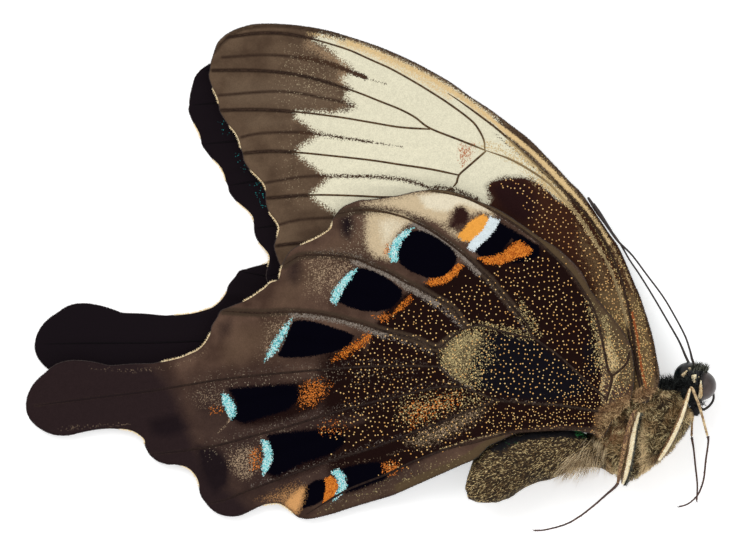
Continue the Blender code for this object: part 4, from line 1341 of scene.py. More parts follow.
# A body axis runs between two pixels; an eye has a pixel, a height and the way that it faces
THORAX_AXIS_PX = ((603.9, 453.4), (681.2, 400.0))
ABDOMEN_AXIS_PX = ((598, 447), (467, 493))
HEAD_AXIS_PX = ((684, 384), (706, 384))
PALP_AXIS_PX = ((690, 409), (702, 409))
RIGHT_EYE = ((701.5, 385.5), 0.0046, (0.98, -0.15, 0.10))
LEFT_EYE = ((688.5, 377.0), 0.0042, (-0.75, 0.52, -0.40))
EYE_RADIUS = 0.00139

# Each row of a limb is a pixel, a height in millimetres and a radius in pixels; the coil's
# rows go without the radius
RIGHT_ANTENNA = [
    (695.5, 368, 5, 1.4), (692, 359, 5.1, 1.3), (690, 351, 5.1, 1.05), (685, 336, 5, 0.95),
    (674, 315, 4.8, 0.9), (662.6, 296, 4.6, 0.9), (647, 275, 4.4, 0.9), (632, 255, 4.2, 0.95),
    (618, 241, 4, 1.2), (608, 226.5, 3.9, 1.7), (600, 214, 3.8, 2), (593, 203, 3.7, 1.4),
]
LEFT_ANTENNA = [
    (690.5, 366, 4.3, 1.4), (686, 357, 4.1, 1.3), (679, 341, 4, 1.05), (667, 320, 3.8, 0.95),
    (653, 296, 3.6, 0.9), (640, 275, 3.3, 0.9), (629.6, 259.6, 3.1, 0.9), (620, 243, 2.9, 1),
    (608, 226.5, 2.7, 1.35), (596.5, 210, 2.6, 1.9), (588, 197, 2.5, 1.3),
]
PROBOSCIS = [
    (695, 391, 2.6), (698, 402, 2.6), (702, 409.5, 2.6), (708, 407.5, 2.55), (713, 401.5, 2.5),
    (714, 395, 2.45), (711, 387, 2.4), (704.5, 385, 2.2), (700.5, 390, 2), (701, 399, 1.8),
    (703.5, 406, 1.7),
]
LEGS = {
    "leg_fore_right": (
        ("wide thigh", [
            (658, 460, 6.2, 2.3), (665, 449, 7, 3.1), (673, 434, 7.5, 3.3), (680, 418, 7.6, 3),
            (686, 400, 7.3, 2.3), (689.5, 388, 7.2, 1.4),
        ]),
        ("pale shin", [
            (689.5, 387, 7.2, 1), (692, 389, 7, 1.6), (695.5, 397, 6.6, 1.5), (700, 409, 6.1, 1.4),
            (707.5, 436, 4.5, 1.3),
        ]),
        ("foot", [
            (708, 436, 4.5, 1.5), (708.3, 443, 4, 1), (706, 461, 3.1, 1), (704, 480, 2.2, 0.95),
            (699, 494, 1.6, 0.9), (692, 502, 1.1, 0.8), (686, 505.5, 0.7, 0.8),
            (679, 507.5, 0.5, 0.8),
        ]),
    ),
    "leg_fore_left": (
        ("thigh", [(666, 454, 2, 2.2), (680, 429, 1.3, 2.4), (689, 412, 1.3, 1.6)]),
        ("shin", [
            (690, 410, 1.4, 1.1), (693.5, 411, 1.7, 1.3), (692.5, 424, 2, 1.1),
            (692, 437, 1.9, 1.3),
        ]),
        ("foot", [
            (692, 437, 1.9, 1.4), (694, 448, 1.7, 1), (696, 466, 1.2, 0.95), (698, 485, 0.7, 0.9),
            (697.5, 502, 0.4, 0.8),
        ]),
    ),
    "leg_mid_right": (
        ("thigh", [
            (622.5, 484, 6.3, 2), (626, 472, 7.3, 3.6), (630, 452, 8, 4.1), (633, 433, 8.2, 4),
            (638.5, 412, 8.3, 2.2),
        ]),
        ("shin", [
            (636.5, 409.5, 8.8, 1.2), (632.5, 414, 9, 2), (627, 431, 8.9, 2.2),
            (621.5, 458, 8.3, 2.2), (617.5, 483, 6.9, 1.5),
        ]),
        ("foot", [
            (618, 482, 7, 1.6), (614.5, 487, 6.3, 1.5), (605, 495.5, 5.3, 1.1),
            (595, 504.6, 4.2, 1), (580, 516.5, 3, 0.95), (565, 525, 1.9, 0.9),
            (545, 530.4, 0.9, 0.8), (534, 531, 0.5, 0.8),
        ]),
    ),
    "leg_mid_left": (
        ("thigh", [
            (627, 479, 2.2, 2.2), (630, 463, 1.2, 2.4), (633, 443, 0.9, 2.3), (636, 428, 0.9, 1.4),
        ]),
        ("shin", [
            (635, 424, 0.7, 1.3), (628, 432, 0.5, 1.6), (622, 456, 0.45, 1.6),
            (614, 470, 0.45, 1.3),
        ]),
        ("foot", [
            (614, 470, 0.45, 1.2), (598, 467, 0.45, 1), (560, 462, 0.4, 0.9), (530, 468, 0.4, 0.8),
        ]),
    ),
    "leg_hind_right": (
        ("thigh", [(615, 474, 1.9, 2.2), (604, 467, 1.5, 2.2), (585, 458, 1.3, 1.4)]),
        ("shin", [(585, 458, 1.3, 1.4), (556, 457, 1.3, 1.5), (535, 461, 1.3, 1.2)]),
        ("foot", [(535, 461, 1.3, 1.2), (520, 466, 1.3, 1), (492, 478, 1.3, 0.8)]),
    ),
    "leg_hind_left": (
        ("thigh", [(606, 455, 1.7, 2.2), (594, 448, 1.2, 2.2), (570, 444, 1, 1.4)]),
        ("shin", [(570, 444, 1, 1.4), (540, 446, 1, 1.5), (526, 449, 1, 1.2)]),
        ("foot", [(526, 449, 1, 1.2), (510, 452, 1, 1), (488, 462, 1.1, 0.8)]),
    ),
}

WOOL_MARKS = {
    "cream": [
        area(4, 0.9, 638, 430, 644, 428, 648, 450, 650, 472, 640, 475, 640, 455),
        area(4, 0.8, 679, 391, 686, 392, 684, 404, 678, 406),
        area(3, 0.7, 661, 389, 671, 390, 668, 397, 659, 397),
        area(3, 0.8, 686, 409, 693, 409, 692, 419, 686, 420),
        area(4, 0.5, 614, 462, 622, 460, 620, 480, 615, 480),
    ],
    "dark": [
        area(5, 0.9, 621, 414, 631, 416, 631, 430, 622, 428),
        area(6, 0.6, 648, 396, 676, 392, 676, 404, 656, 412),
        area(3, 0.6, 668, 404, 672, 402, 660, 432, 652, 446, 650, 440),
        area(5, 0.7, 604, 446, 614, 455, 612, 462, 604, 456),
        area(5, 0.5, 630, 450, 637, 450, 640, 474, 630, 480),
    ],
    "rusty": [
        area(6, 0.5, 600, 425, 618, 420, 622, 440, 606, 446),
    ],
    "black": [
        area(4, 1, 654, 376, 696, 374, 696, 402, 687, 403, 681, 395, 670, 390, 656, 389),
    ],
}
ABDOMEN_MARKS = {
    # The first dark area is painted shadow along the abdomen's back, where the hindwing's inner
    # margin overlaps it; the second is a fainter dark patch lower down.
    "dark": [
        area(3, 1, 488, 450, 500, 441, 530, 432, 575, 429, 598, 436, 594, 440, 560, 437, 520, 442,
             500, 452),
        area(5, 0.4, 525, 470, 545, 466, 545, 480, 528, 480),
    ],
    "green": [
        area(3, 0.75, 576, 430, 595, 431, 594, 438, 578, 437),
        area(4, 0.12, 498, 440, 530, 434, 530, 446, 500, 452),
    ],
}
HEAD_MARKS = {
    "cream": [
        area(0.9, 1, 682, 374, 686, 370.4, 686.6, 374.6, 683.4, 376.4),
        area(0.7, 1, 689.4, 367, 690.6, 367.4, 690.4, 371, 689.4, 370.6),
        area(0.9, 1, 691.5, 375, 696, 374.2, 694.8, 378, 694, 382),
        area(1.2, 1, 698.5, 376, 700.6, 376, 701.4, 385, 702, 396, 699.5, 398, 697.4, 394,
             699.4, 384),
    ],
}

# Numbers by which the legs' material tells their parts
LEG_KINDS = {"thigh": 0.0, "wide thigh": 1.0, "shin": 2.0, "foot": 3.0, "pale shin": 4.0}
WAIST = [(578, 449, 4.0, 15), (596, 447.5, 4.1, 16), (614, 444, 4.4, 15)]
NECK = [(672, 398, 4.5, 10), (684, 391, 4.5, 10), (697, 388, 4.5, 10)]
# Where curly wool covers the wings' roots, and black hair the neck
ROOT_WOOL_AREA = pairs(
    598, 410, 612, 402, 628, 394, 640, 386, 659, 387, 668, 396, 640, 420, 622, 438, 606, 444,
    597, 437,
)
NECK_HAIR_AREA = pairs(
    656, 384, 664, 379, 676, 378, 690, 378, 696, 386, 694, 400, 687, 404, 682, 392, 668, 390,
    658, 391,
)


def spots_on(mesh, count, chance):
    """Random points spread evenly over a mesh, with the surface's normals there."""
    mesh.calc_loop_triangles()
    corners = np.array([t.vertices for t in mesh.loop_triangles])
    points = points_of(mesh)
    a, b, c = (points[corners[:, k]] for k in range(3))
    areas = np.linalg.norm(np.cross(b - a, c - a), axis=1)
    chosen = chance.choice(len(corners), count, p=areas / areas.sum())
    u, v = chance.random((2, count, 1))
    over = (u + v) > 1
    u, v = np.where(over, 1 - u, u), np.where(over, 1 - v, v)
    spots = a[chosen] + (b - a)[chosen] * u + (c - a)[chosen] * v
    n = normals_of(mesh)[corners[chosen]]
    return spots, unit(n[:, 0] * (1 - u - v) + n[:, 1] * u + n[:, 2] * v)


def waves(points, scale, seed):
    """Smooth random values from -1 to 1 that vary about scale times in a millimetre."""
    chance = np.random.default_rng(seed)
    total = np.zeros(len(points))
    for _ in range(8):
        direction = chance.normal(size=3)
        length = np.linalg.norm(direction)
        direction *= 2 * pi * scale * 1000 / length * chance.uniform(0.5, 1.3)
        total += np.sin(points @ direction + chance.uniform(0, 2 * pi))
    return total / 4


def skin_of(node, name, levels, lumps):
    """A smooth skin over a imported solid, a copy of it rounded and made a little lumpy."""
    obj = new_object(name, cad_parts[node].data.copy())
    take(obj)
    mesh = obj.data
    mesh.materials.clear()
    bpy.ops.object.mode_set(mode="EDIT")
    bpy.ops.mesh.select_all(action="SELECT")
    bpy.ops.mesh.remove_doubles(threshold=0.000001)
    bpy.ops.mesh.tris_convert_to_quads()
    bpy.ops.object.mode_set(mode="OBJECT")
    apply_modifier(obj, "SUBSURF", levels=levels, render_levels=levels)
    points = points_of(mesh)
    move_points(mesh, points + normals_of(mesh) * (waves(points, 0.9, 5) * lumps)[:, None])
    mesh.shade_smooth()
    return obj


def perch(nodes, pixels):
    """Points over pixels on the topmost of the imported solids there, and which have one."""
    flat = place(pixels)
    heights = np.full(len(flat), -1.0)
    for tree in map(solid_tree, nodes):
        for k, (x, y) in enumerate(flat):
            hit = tree.ray_cast(Vector((x, y, 0.02)), -Vector(UP))[0]
            if hit is not None:
                heights[k] = max(heights[k], hit.z)
    return np.column_stack([flat, heights]), heights > 0


def raised(x, y, heights):
    """Points at heights above the floor under pixels of the photograph."""
    return np.column_stack([place(np.column_stack([x, y])), heights])


def scattered(outline, per_pixel, chance):
    """Random pixel points inside an outline, about so many to a square pixel."""
    outline = np.array(outline, float)
    low, high = outline.min(0), outline.max(0)
    pixels = chance.uniform(low, high, (round(per_pixel * np.prod(high - low)), 2))
    return pixels[depth_inside(pixels, outline) > 0]


def way_between(start_px, end_px):
    """The level direction from one pixel to another, at a length of 1."""
    way = np.array((*(place(end_px) - place(start_px)), 0))
    return way / np.linalg.norm(way)


def around_axis(spots, axis_px, height):
    """How far along a body axis spots are, from 0 to 1, and how far round it."""
    start, end = (np.array((*place(p), height)) for p in axis_px)
    along = end - start
    share = (spots - start) @ along / (along @ along)
    across = np.cross(along, UP)
    across /= np.linalg.norm(across)
    turn = np.arctan2(spots[:, 2] - height, (spots - start) @ across) / (2 * pi) + 0.5
    return np.clip(share, 0, 1), turn


def coat(
    name, skin, count, seed, axis_px, lie, length, width, lift, swirl, bare=(), marks=(), power=1
):
    """Hairs or scales over a skin that lie along it, with marks at their roots.

    The swirl is how often the flow turns in a millimetre, how far, and how far each hair strays.
    """
    chance = np.random.default_rng(seed)
    spots, normals = spots_on(skin.data, count, chance)
    kept = (cover(pixels_over(spots), bare) < 0.4) | (spots[:, 2] < BODY_HEIGHT)
    spots, normals, count = spots[kept], normals[kept], int(kept.sum())
    flow = np.broadcast_to(np.array(lie, float), (count, 3))
    often, far, stray = swirl
    turn = (waves(spots, often, seed + 1) * far + chance.normal(0, stray, count))[:, None]
    flow = flow * np.cos(turn) + np.cross(normals, flow) * np.sin(turn)
    flow = unit(square_to(flow, normals))
    rise = np.clip(chance.normal(lift, lift * 0.35, count), 0.02, 1.4)[:, None]
    lengths = (chance.uniform(0.65, 1.25, count) * length)[:, None]
    tips = spots + (flow * np.cos(rise) + normals * np.sin(rise)) * lengths
    bows = normals * lengths * 0.10
    roots = spots - normals * ROOT_DEPTH
    piece = blades(name, roots, tips, width, bows, np.cross(normals, flow))
    each = points_in(HAIR_PARTS)
    places = np.column_stack(around_axis(spots, axis_px, BODY_HEIGHT))
    spread_map(piece.data, MAP_LOW + MAP_SPAN * places, each)
    paint(piece.data, "chance", np.repeat(chance.random(count) ** power, each))
    paint_marks(piece.data, dict(marks), pixels_over(spots), each)
    return piece


def hairs(
    name, material, slot, chance, roots, angle, reach, rise, width,
    parts=HAIR_PARTS, curl=0.0, droop=0.0,
):
    """Loose hairs from their roots.

    The angle is a mean and a spread in degrees. Reach and rise name a kind of random number
    and its values.
    """
    count = len(roots)
    angle = np.radians(chance.normal(*angle, count))
    reach, rise = (getattr(chance, kind)(*values, count) for kind, *values in (reach, rise))
    x, y = np.cos(angle), np.sin(angle)
    reach = reach[:, None]
    tips = roots + np.column_stack([x, y, rise]) * reach
    bows = np.column_stack([-y * curl, x * curl, np.full(count, droop)]) * reach
    piece = blades(name, roots, tips, width, bows, parts=parts)
    shuffle_strands(piece.data, chance, points_in(parts))
    finish_piece(piece, name, material, slot)


def hair_material(name, dark, middle, pale, marks=(), tint=None, patchy=1.5):
    """Hair whose colour changes from strand to strand, with marks at its roots."""
    s = Shading(name, 0.6, Specular_IOR_Level=0.12)
    strand = s.value("chance")
    patch = s.noise(1.1, 3.0)
    pick = s.math("MULTIPLY_ADD", s.math("SUBTRACT", patch, 0.5), patchy, strand)
    colour = s.ramp(pick, (0.05, dark), (0.5, middle), (0.95, pale))
    if tint:
        share = s.math("MULTIPLY", s.between(s.noise(0.45, 2.0), 0.48, 0.62), 0.6)
        colour = s.mix(share, colour, s.mix(strand, darker(tint, 0.6), tint))
    for number, (mark, own) in enumerate(marks):
        grain = s.math("FRACT", s.math("MULTIPLY", strand, 7.31 + number))
        colour = s.mix(s.scatter(s.value(mark), grain, 0.8), colour, own)
    return s.finish(colour)


def skin_material(name, dark, pale, marks=(), scale=3.0):
    """A dark skin under a coat, mottled like it."""
    s = Shading(name, 0.8, Specular_IOR_Level=0.15)
    grain = s.noise(scale, 5.0)
    colour = s.mottle(grain, 0.35, 0.7, dark, pale)
    for mark, own in marks:
        colour = s.stain(mark, colour, own)
    return s.finish(colour, s.bump(grain, 0.00006, 0.6))


def horn_material(name, dark, pale, rings_per_mm, roughness=0.35):
    """Dark horn with fine rings along a limb, read from its own length."""
    s = Shading(name, roughness, Specular_IOR_Level=0.45)
    rings = s.math("FRACT", s.math("MULTIPLY", s.value("length"), rings_per_mm * 1000))
    joint = s.between(s.math("ABSOLUTE", s.math("SUBTRACT", rings, 0.5)), 0.36, 0.5)
    grain = s.noise(5.0, 3.0)
    colour = s.mottle(grain, 0.35, 0.65, dark, pale)
    colour = s.mix(s.math("MULTIPLY", joint, 0.7), colour, darker(dark, 0.45))
    return s.finish(colour, s.bump(s.math("SUBTRACT", grain, joint), 0.00002, 0.5))


def limb_part(name, rows, kind):
    """One round part of a limb, with its length, side and kind stored for its material."""
    line = smooth_line(in_metres(rows), LIMB_STEP)
    middle, radii = line[:, :3], line[:, 3]
    steps = np.linalg.norm(np.diff(middle, axis=0), axis=1)
    lengths = np.concatenate([[0], np.cumsum(steps)])
    ends = np.minimum(lengths, lengths[-1] - lengths) / (radii * 0.9)
    rounded = radii * np.sqrt(1 - (1 - np.clip(ends, 0.03, 1)) ** 2)
    piece = tube(name, [(middle, rounded)], 3)
    spots = points_of(piece.data)
    tree = KDTree(len(line))
    for index, spot in enumerate(middle):
        tree.insert(spot, index)
    tree.balance()
    which = np.array([tree.find(spot)[1] for spot in spots])
    across = unit(np.cross(np.gradient(middle, axis=0)[which], UP))
    paint(piece.data, "length", lengths[which])
    paint(piece.data, "side", ((spots - middle[which]) * across).sum(1) / radii[which])
    paint(piece.data, "kind", np.full(len(spots), kind))
    return piece


def limb(name, parts, material, slot, *nodes):
    """A limb from round parts, each with its rows and its kind of surface."""
    pieces = [limb_part(f"{name}_{number}", *part) for number, part in enumerate(parts)]
    take(pieces[0])
    for piece in pieces:
        piece.select_set(True)
    bpy.ops.object.join()
    finish_piece(bpy.context.object, name, material, slot, *nodes)


class SwallowtailBodyLooks(bpy.types.PropertyGroup):
    """Sizes of the body's coats."""

    wool_length: FloatProperty(
        name="Wool", description="Length of the thorax's hair", default=0.00055, unit="LENGTH"
    )
    wool_count: IntProperty(
        name="Wool hairs", description="How many hairs the thorax has", default=14000
    )
    abdomen_scale: FloatProperty(
        name="Abdomen scale",
        description="Length of the abdomen's scales",
        default=0.00029,
        unit="LENGTH",
    )
    abdomen_count: IntProperty(
        name="Abdomen scales", description="How many scales the abdomen has", default=20000
    )
    head_hair: FloatProperty(
        name="Head hair", description="Length of the head's hair", default=0.0003, unit="LENGTH"
    )


def thorax_coat(look):
    """The thorax's skin and its wool, with a waist and a neck to its neighbours."""
    skin = skin_of("thorax", "thorax_skin", 2, 0.00008)
    paint_marks(skin.data, WOOL_MARKS, pixels_over(points_of(skin.data)))
    marks = (
        ("dark", (40, 30, 20)), ("cream", (150, 128, 92)), ("rusty", (110, 74, 52)),
        ("black", (10, 10, 10)),
    )
    material = skin_material("thorax_skin", (44, 34, 22), (96, 80, 54), marks)
    finish_piece(skin, "thorax_skin", material, "thorax_wool", "thorax")
    tailward = way_between(*THORAX_AXIS_PX[::-1])
    wool = coat(
        "thorax_wool", skin, look.wool_count, 11, THORAX_AXIS_PX, tailward,
        look.wool_length, 0.000045, 0.4, (0.6, 1.7, 0.4), marks=WOOL_MARKS,
    )
    marks = (
        ("dark", (44, 32, 22)), ("cream", (232, 206, 158)), ("rusty", (146, 100, 68)),
        ("black", (10, 10, 10)),
    )
    colours = ((40, 28, 17), (156, 130, 88), (255, 236, 180))
    wool_material = hair_material("thorax_wool", *colours, marks, (166, 118, 70))
    finish_piece(wool, "thorax_wool", wool_material, "thorax_wool")
    limb("waist_skin", [(WAIST, 0.0)], material, "thorax_wool")
    material = skin_material("neck_skin", (7, 7, 7), (24, 22, 20), scale=4.0)
    limb("neck_skin", [(NECK, 0.0)], material, "black_hair")


def root_wool():
    """Curly wool over the wings' roots."""
    chance = np.random.default_rng(17)
    nodes = ("wing_hind_right", "wing_fore_right", "thorax")
    roots, found = perch(nodes, scattered(ROOT_WOOL_AREA, 1.1, chance))
    colours = ((60, 43, 29), (140, 110, 77), (232, 200, 148))
    material = hair_material("root_wool", *colours, tint=(156, 108, 72))
    hairs(
        "root_wool", material, "thorax_wool", chance, roots[found] - (0, 0, 0.00012),
        (225, 55), ("uniform", 0.0002, 0.00055), ("uniform", 0.2, 0.9), 0.000045, curl=0.25,
    )


def thorax_tufts():
    """The tuft that hangs over the abdomen's base, and the cream wool under it."""
    chance = np.random.default_rng(21)
    count = 1900
    along = chance.random(count) ** 0.8
    roots = raised(
        609 - 40 * along,
        440 + 15 * along + chance.normal(0, 4.5, count),
        BODY_HEIGHT + chance.uniform(-0.0010, 0.0021, count),
    )
    hairs(
        "thorax_tuft", hair_material("tuft_hair", (80, 62, 45), (162, 137, 102), (236, 214, 174)),
        "thorax_wool", chance, roots,
        (224 + 34 * (1 - along), 11), ("uniform", 0.0010, 0.0033), ("normal", 0, 0.1), 0.000026,
        4, droop=0.1,
    )
    count = 260
    roots = raised(
        chance.uniform(604, 616, count),
        chance.uniform(442, 462, count),
        BODY_HEIGHT + chance.uniform(-0.0010, 0.0018, count),
    )
    hairs(
        "cream_wool", hair_material("cream_wool", (120, 88, 58), (196, 162, 114), (228, 204, 160)),
        "thorax_wool", chance, roots,
        (284, 10), ("uniform", 0.0006, 0.0018), ("normal", 0, 0.1), 0.00004,
    )


def neck_hair():
    """Black hair between the wings and the head."""
    chance = np.random.default_rng(29)
    roots, found = perch(("thorax", "head"), scattered(NECK_HAIR_AREA, 3.2, chance))
    roots[~found, 2] = BODY_HEIGHT + 0.0006
    material = hair_material("black_hair", (5, 5, 6), (14, 15, 15), (66, 70, 68))
    hairs(
        "neck_hair", material, "black_hair", chance, roots,
        (120, 50), ("gamma", 4.0, 0.00010), ("uniform", 0.3, 1.0), 0.00004,
    )
    count = 260
    roots = raised(
        chance.uniform(657, 680, count),
        np.full(count, 384),
        BODY_HEIGHT + chance.uniform(-0.0012, 0.001, count),
    )
    hairs(
        "neck_bristles", material, "black_hair", chance, roots,
        (112, 24), ("uniform", 0.0004, 0.0013), ("normal", 0, 0.2), 0.000022,
    )


class SWALLOWTAIL_OT_thorax(bpy.types.Operator):
    """Makes the woolly thorax, with the tufts at its rear and its neck."""

    bl_idname = "swallowtail.thorax"
    bl_label = "Thorax"

    def execute(self, context):
        thorax_coat(context.scene.swallowtail_body)
        root_wool()
        thorax_tufts()
        neck_hair()
        return {"FINISHED"}


class SWALLOWTAIL_OT_abdomen(bpy.types.Operator):
    """Makes the abdomen with its gold-streaked scales."""

    bl_idname = "swallowtail.abdomen"
    bl_label = "Abdomen"

    def execute(self, context):
        look = context.scene.swallowtail_body
        skin = skin_of("abdomen", "abdomen_skin", 1, 0.00006)
        paint_marks(skin.data, ABDOMEN_MARKS, pixels_over(points_of(skin.data)))
        # The dark mark paints shadow onto the skin under the hindwing's inner margin, and a fainter
        # dark patch lower down.
        marks = (("dark", (14, 13, 16)),)
        material = skin_material("abdomen_skin", (32, 24, 18), (72, 58, 42), marks, 5.0)
        finish_piece(skin, "abdomen_skin", material, "abdomen_scales", "abdomen")
        scales = coat(
            "abdomen_scales", skin, look.abdomen_count, 31, ABDOMEN_AXIS_PX,
            way_between(*ABDOMEN_AXIS_PX), look.abdomen_scale, 0.00005, 0.16, (0.5, 0.45, 0.3),
            marks=ABDOMEN_MARKS, power=1.9,
        )
        # On the scales too, the dark mark is painted shadow under the hindwing's inner margin, with
        # a fainter dark patch lower down.
        marks = (("dark", (20, 19, 24)), ("green", (88, 196, 112)))
        colours = ((36, 24, 15), (118, 92, 58), (255, 228, 166))
        material = hair_material("abdomen_scales", *colours, marks, patchy=0.4)
        finish_piece(scales, "abdomen_scales", material, "abdomen_scales")
        return {"FINISHED"}


def head_marks():
    """Cream scales where the black hair leaves the head's skin bare."""
    chance = np.random.default_rng(43)
    pixels = [scattered(outline, 18, chance) for _, _, outline in HEAD_MARKS["cream"]]
    roots, found = perch(("head", "eye_right", "eye_left"), np.vstack(pixels))
    material = hair_material("cream_scales", (196, 156, 104), (246, 226, 178), (255, 248, 220))
    hairs(
        "head_marks", material, "pale_eye", chance, roots[found] + (0, 0, 0.0001),
        (255, 35), ("uniform", 0.0001, 0.0002), ("uniform", 0.15, 0.6), 0.00006, 2,
    )


def brow_and_mouth_hair():
    """Bristles between the antennae and the right eye, and a tuft at the mouth."""
    chance = np.random.default_rng(47)
    count = 420
    x = chance.uniform(691, 707, count)
    y = chance.normal(370, 1.6, count) + (x - 698) ** 2 * 0.02
    roots = raised(x, y, BODY_HEIGHT + chance.uniform(-0.0008, 0.0012, count))
    hairs(
        "brow_hair", hair_material("brow_hair", (12, 12, 10), (38, 38, 33), (116, 116, 102)),
        "black_hair", chance, roots,
        (70, 24), ("uniform", 0.0003, 0.0008), ("normal", 0.2, 0.3), 0.00004,
    )
    count = 900
    roots = raised(
        chance.normal(694.5, 3.4, count),
        chance.normal(403, 3.4, count),
        chance.uniform(0.0026, 0.0050, count),
    )
    hairs(
        "mouth_hair", bpy.data.materials["black_hair"], "black_hair", chance, roots,
        (300, 50), ("uniform", 0.0002, 0.0005), ("normal", 0.2, 0.3), 0.00005,
    )


class SWALLOWTAIL_OT_head(bpy.types.Operator):
    """Makes the hairy black head with its cream marks, and the palps."""

    bl_idname = "swallowtail.head"
    bl_label = "Head"

    def execute(self, context):
        look = context.scene.swallowtail_body
        black = bpy.data.materials["black_hair"]
        skin = skin_of("head", "head_skin", 2, 0.00004)
        material = skin_material("head_skin", (8, 8, 9), (26, 26, 27), scale=4.0)
        finish_piece(skin, "head_skin", material, "black_hair", "head")
        hair = coat(
            "head_hair", skin, 3600, 41, HEAD_AXIS_PX, (0.25, 0.95, 0.1), look.head_hair,
            0.00004, 0.55, (0.6, 0.8, 0.5), HEAD_MARKS["cream"],
        )
        finish_piece(hair, "head_hair", black, "black_hair")
        head_marks()
        brow_and_mouth_hair()
        for side in SIDES:
            node = f"palp_{side}"
            palp = skin_of(node, f"{node}_skin", 1, 0.00001)
            finish_piece(palp, f"{node}_skin", material, "black_hair", node)
            fur = coat(
                f"{node}_hair", palp, 420, 53, PALP_AXIS_PX, (0.2, -0.9, 0), 0.00038, 0.00004,
                0.5, (1, 0.3, 0.3),
            )
            finish_piece(fur, f"{node}_hair", black, "black_hair")
        return {"FINISHED"}


def eye_material(side, dark, middle, pale):
    """An eye's facets, with painted shade in a dark rim where its dome meets the head."""
    s = Shading(f"{side}_eye", 0.32, Specular_IOR_Level=0.3, Coat_Weight=0.12, Coat_Roughness=0.1)
    facets = s.cells(16.0, 0.35).outputs["Distance"]
    colour = s.mottle(s.noise(0.9, 3.0), 0.35, 0.7, dark, middle)
    colour = s.mix(s.math("MULTIPLY", s.between(facets, 0.4, 0.0), 0.4), colour, pale)
    # Painted shade: the dome darkens to near black towards its edge at the head.
    colour = s.mix(s.between(s.value("dome"), 0.26, 0.04), colour, (22, 17, 16))
    return s.finish(colour, s.bump(facets, 0.00001, 0.25))


class SWALLOWTAIL_OT_eyes(bpy.types.Operator):
    """Makes the two compound eyes, each a faceted dome."""

    bl_idname = "swallowtail.eyes"
    bl_label = "Eyes"

    def execute(self, context):
        for side, slot, (spot, height, faces), colours in (
            ("right", "pale_eye", RIGHT_EYE, ((50, 41, 39), (90, 78, 74), (132, 118, 112))),
            # The left eye is given a near-black copy of the right eye's colours: painted shade on
            # the far eye.
            ("left", "dark_eye", LEFT_EYE, ((5, 5, 7), (10, 10, 12), (22, 22, 26))),
        ):
            centre = Vector((*place(spot), height))
            facing = Vector(faces).normalized()
            deselect()
            bpy.ops.mesh.primitive_ico_sphere_add(
                subdivisions=6, radius=EYE_RADIUS, location=centre
            )
            eye = context.object
            bpy.ops.object.transform_apply(location=True, rotation=True, scale=True)
            bpy.ops.object.mode_set(mode="EDIT")
            bpy.ops.mesh.select_all(action="SELECT")
            bpy.ops.mesh.bisect(
                plane_co=centre, plane_no=-facing, use_fill=True, clear_outer=True
            )
            bpy.ops.object.mode_set(mode="OBJECT")
            outward = (points_of(eye.data) - np.array(centre)) @ np.array(facing)
            paint(eye.data, "dome", outward / EYE_RADIUS)
            eye.data.shade_smooth()
            eye.data.set_sharp_from_angle(angle=radians(50))
            material = eye_material(side, *colours)
            finish_piece(eye, f"eye_{side}_dome", material, slot, f"eye_{side}")
        return {"FINISHED"}


class SWALLOWTAIL_OT_antennae(bpy.types.Operator):
    """Makes the clubbed antennae and the coiled proboscis."""

    bl_idname = "swallowtail.antennae"
    bl_label = "Antennae and proboscis"

    def execute(self, context):
        horn = horn_material("antenna_horn", (16, 13, 13), (52, 34, 28), 9.0)
        for side, rows in zip(SIDES, (RIGHT_ANTENNA, LEFT_ANTENNA)):
            name = f"antenna_{side}"
            limb(f"{name}_segments", [(rows, 0.0)], horn, "dark_horn", name)
        coil = horn_material("proboscis_horn", (18, 14, 13), (44, 32, 26), 6.0, 0.3)
        rows = np.column_stack([PROBOSCIS, np.linspace(1.5, 0.9, len(PROBOSCIS))])
        limb("proboscis_coil", [(rows, 0.0)], coil, "dark_horn", "proboscis")
        return {"FINISHED"}


def leg_material():
    """The legs' scales: cream stripes with dark rims on the thighs and shins, plain feet."""
    s = Shading("leg_scales", 0.5, Specular_IOR_Level=0.25)
    grain = s.noise(3.5, 4.0)
    fine = s.noise(11.0, 3.0)
    tone = s.math("MULTIPLY_ADD", fine, 0.6, s.math("MULTIPLY", grain, 0.4))
    brown = s.ramp(tone, (0.36, (60, 36, 25)), (0.5, (112, 78, 54)), (0.6, (206, 170, 116)))
    cream = s.ramp(tone, (0.3, (176, 142, 98)), (0.44, (238, 214, 166)), (0.6, (255, 246, 216)))
    foot = s.mottle(grain, 0.3, 0.7, (44, 29, 26), (92, 62, 52))
    tan = s.mottle(grain, 0.35, 0.65, (140, 108, 74), (232, 206, 160))
    grey = s.mottle(fine, 0.4, 0.62, (34, 30, 25), (112, 104, 90))
    side = s.math("MULTIPLY_ADD", s.math("SUBTRACT", fine, 0.5), 0.8, s.value("side"))
    kind = s.value("kind")
    left = s.math("SUBTRACT", s.math("MULTIPLY", s.math("GREATER_THAN", kind, 0.5), 0.18), 0.5)
    striped = s.math("LESS_THAN", kind, 1.5)
    inside = s.between(s.math("SUBTRACT", side, left), -0.06, 0.06)
    stripe = s.math("MULTIPLY", striped, inside)
    hairy = s.math("MULTIPLY", s.math("LESS_THAN", kind, 0.5), s.between(side, 0.52, 0.64))
    colour = s.mix(s.math("GREATER_THAN", kind, 2.5), brown, foot)
    colour = s.mix(s.math("GREATER_THAN", kind, 3.5), colour, tan)
    colour = s.mix(stripe, colour, cream)
    rim = s.math("MULTIPLY", striped, s.between(s.math("ABSOLUTE", side), 0.72, 0.92))
    colour = s.mix(rim, colour, (58, 34, 24))
    colour = s.mix(hairy, colour, grey)
    return s.finish(colour, s.bump(fine, 0.00003, 0.6))


def spine_ends(rows, chance):
    """The roots and tips of the spines along one part of a leg."""
    line = smooth_line(in_metres(rows), SPINE_STEP)
    ahead = unit(np.gradient(line[:, :3], axis=0))
    out = unit(square_to(chance.normal(size=(len(line), 3)), ahead))
    roots = line[:, :3] + out * line[:, 3:] * 0.8
    tips = roots + (out * 0.55 + ahead) * chance.uniform(0.00008, 0.00017, (len(line), 1))
    return roots, tips


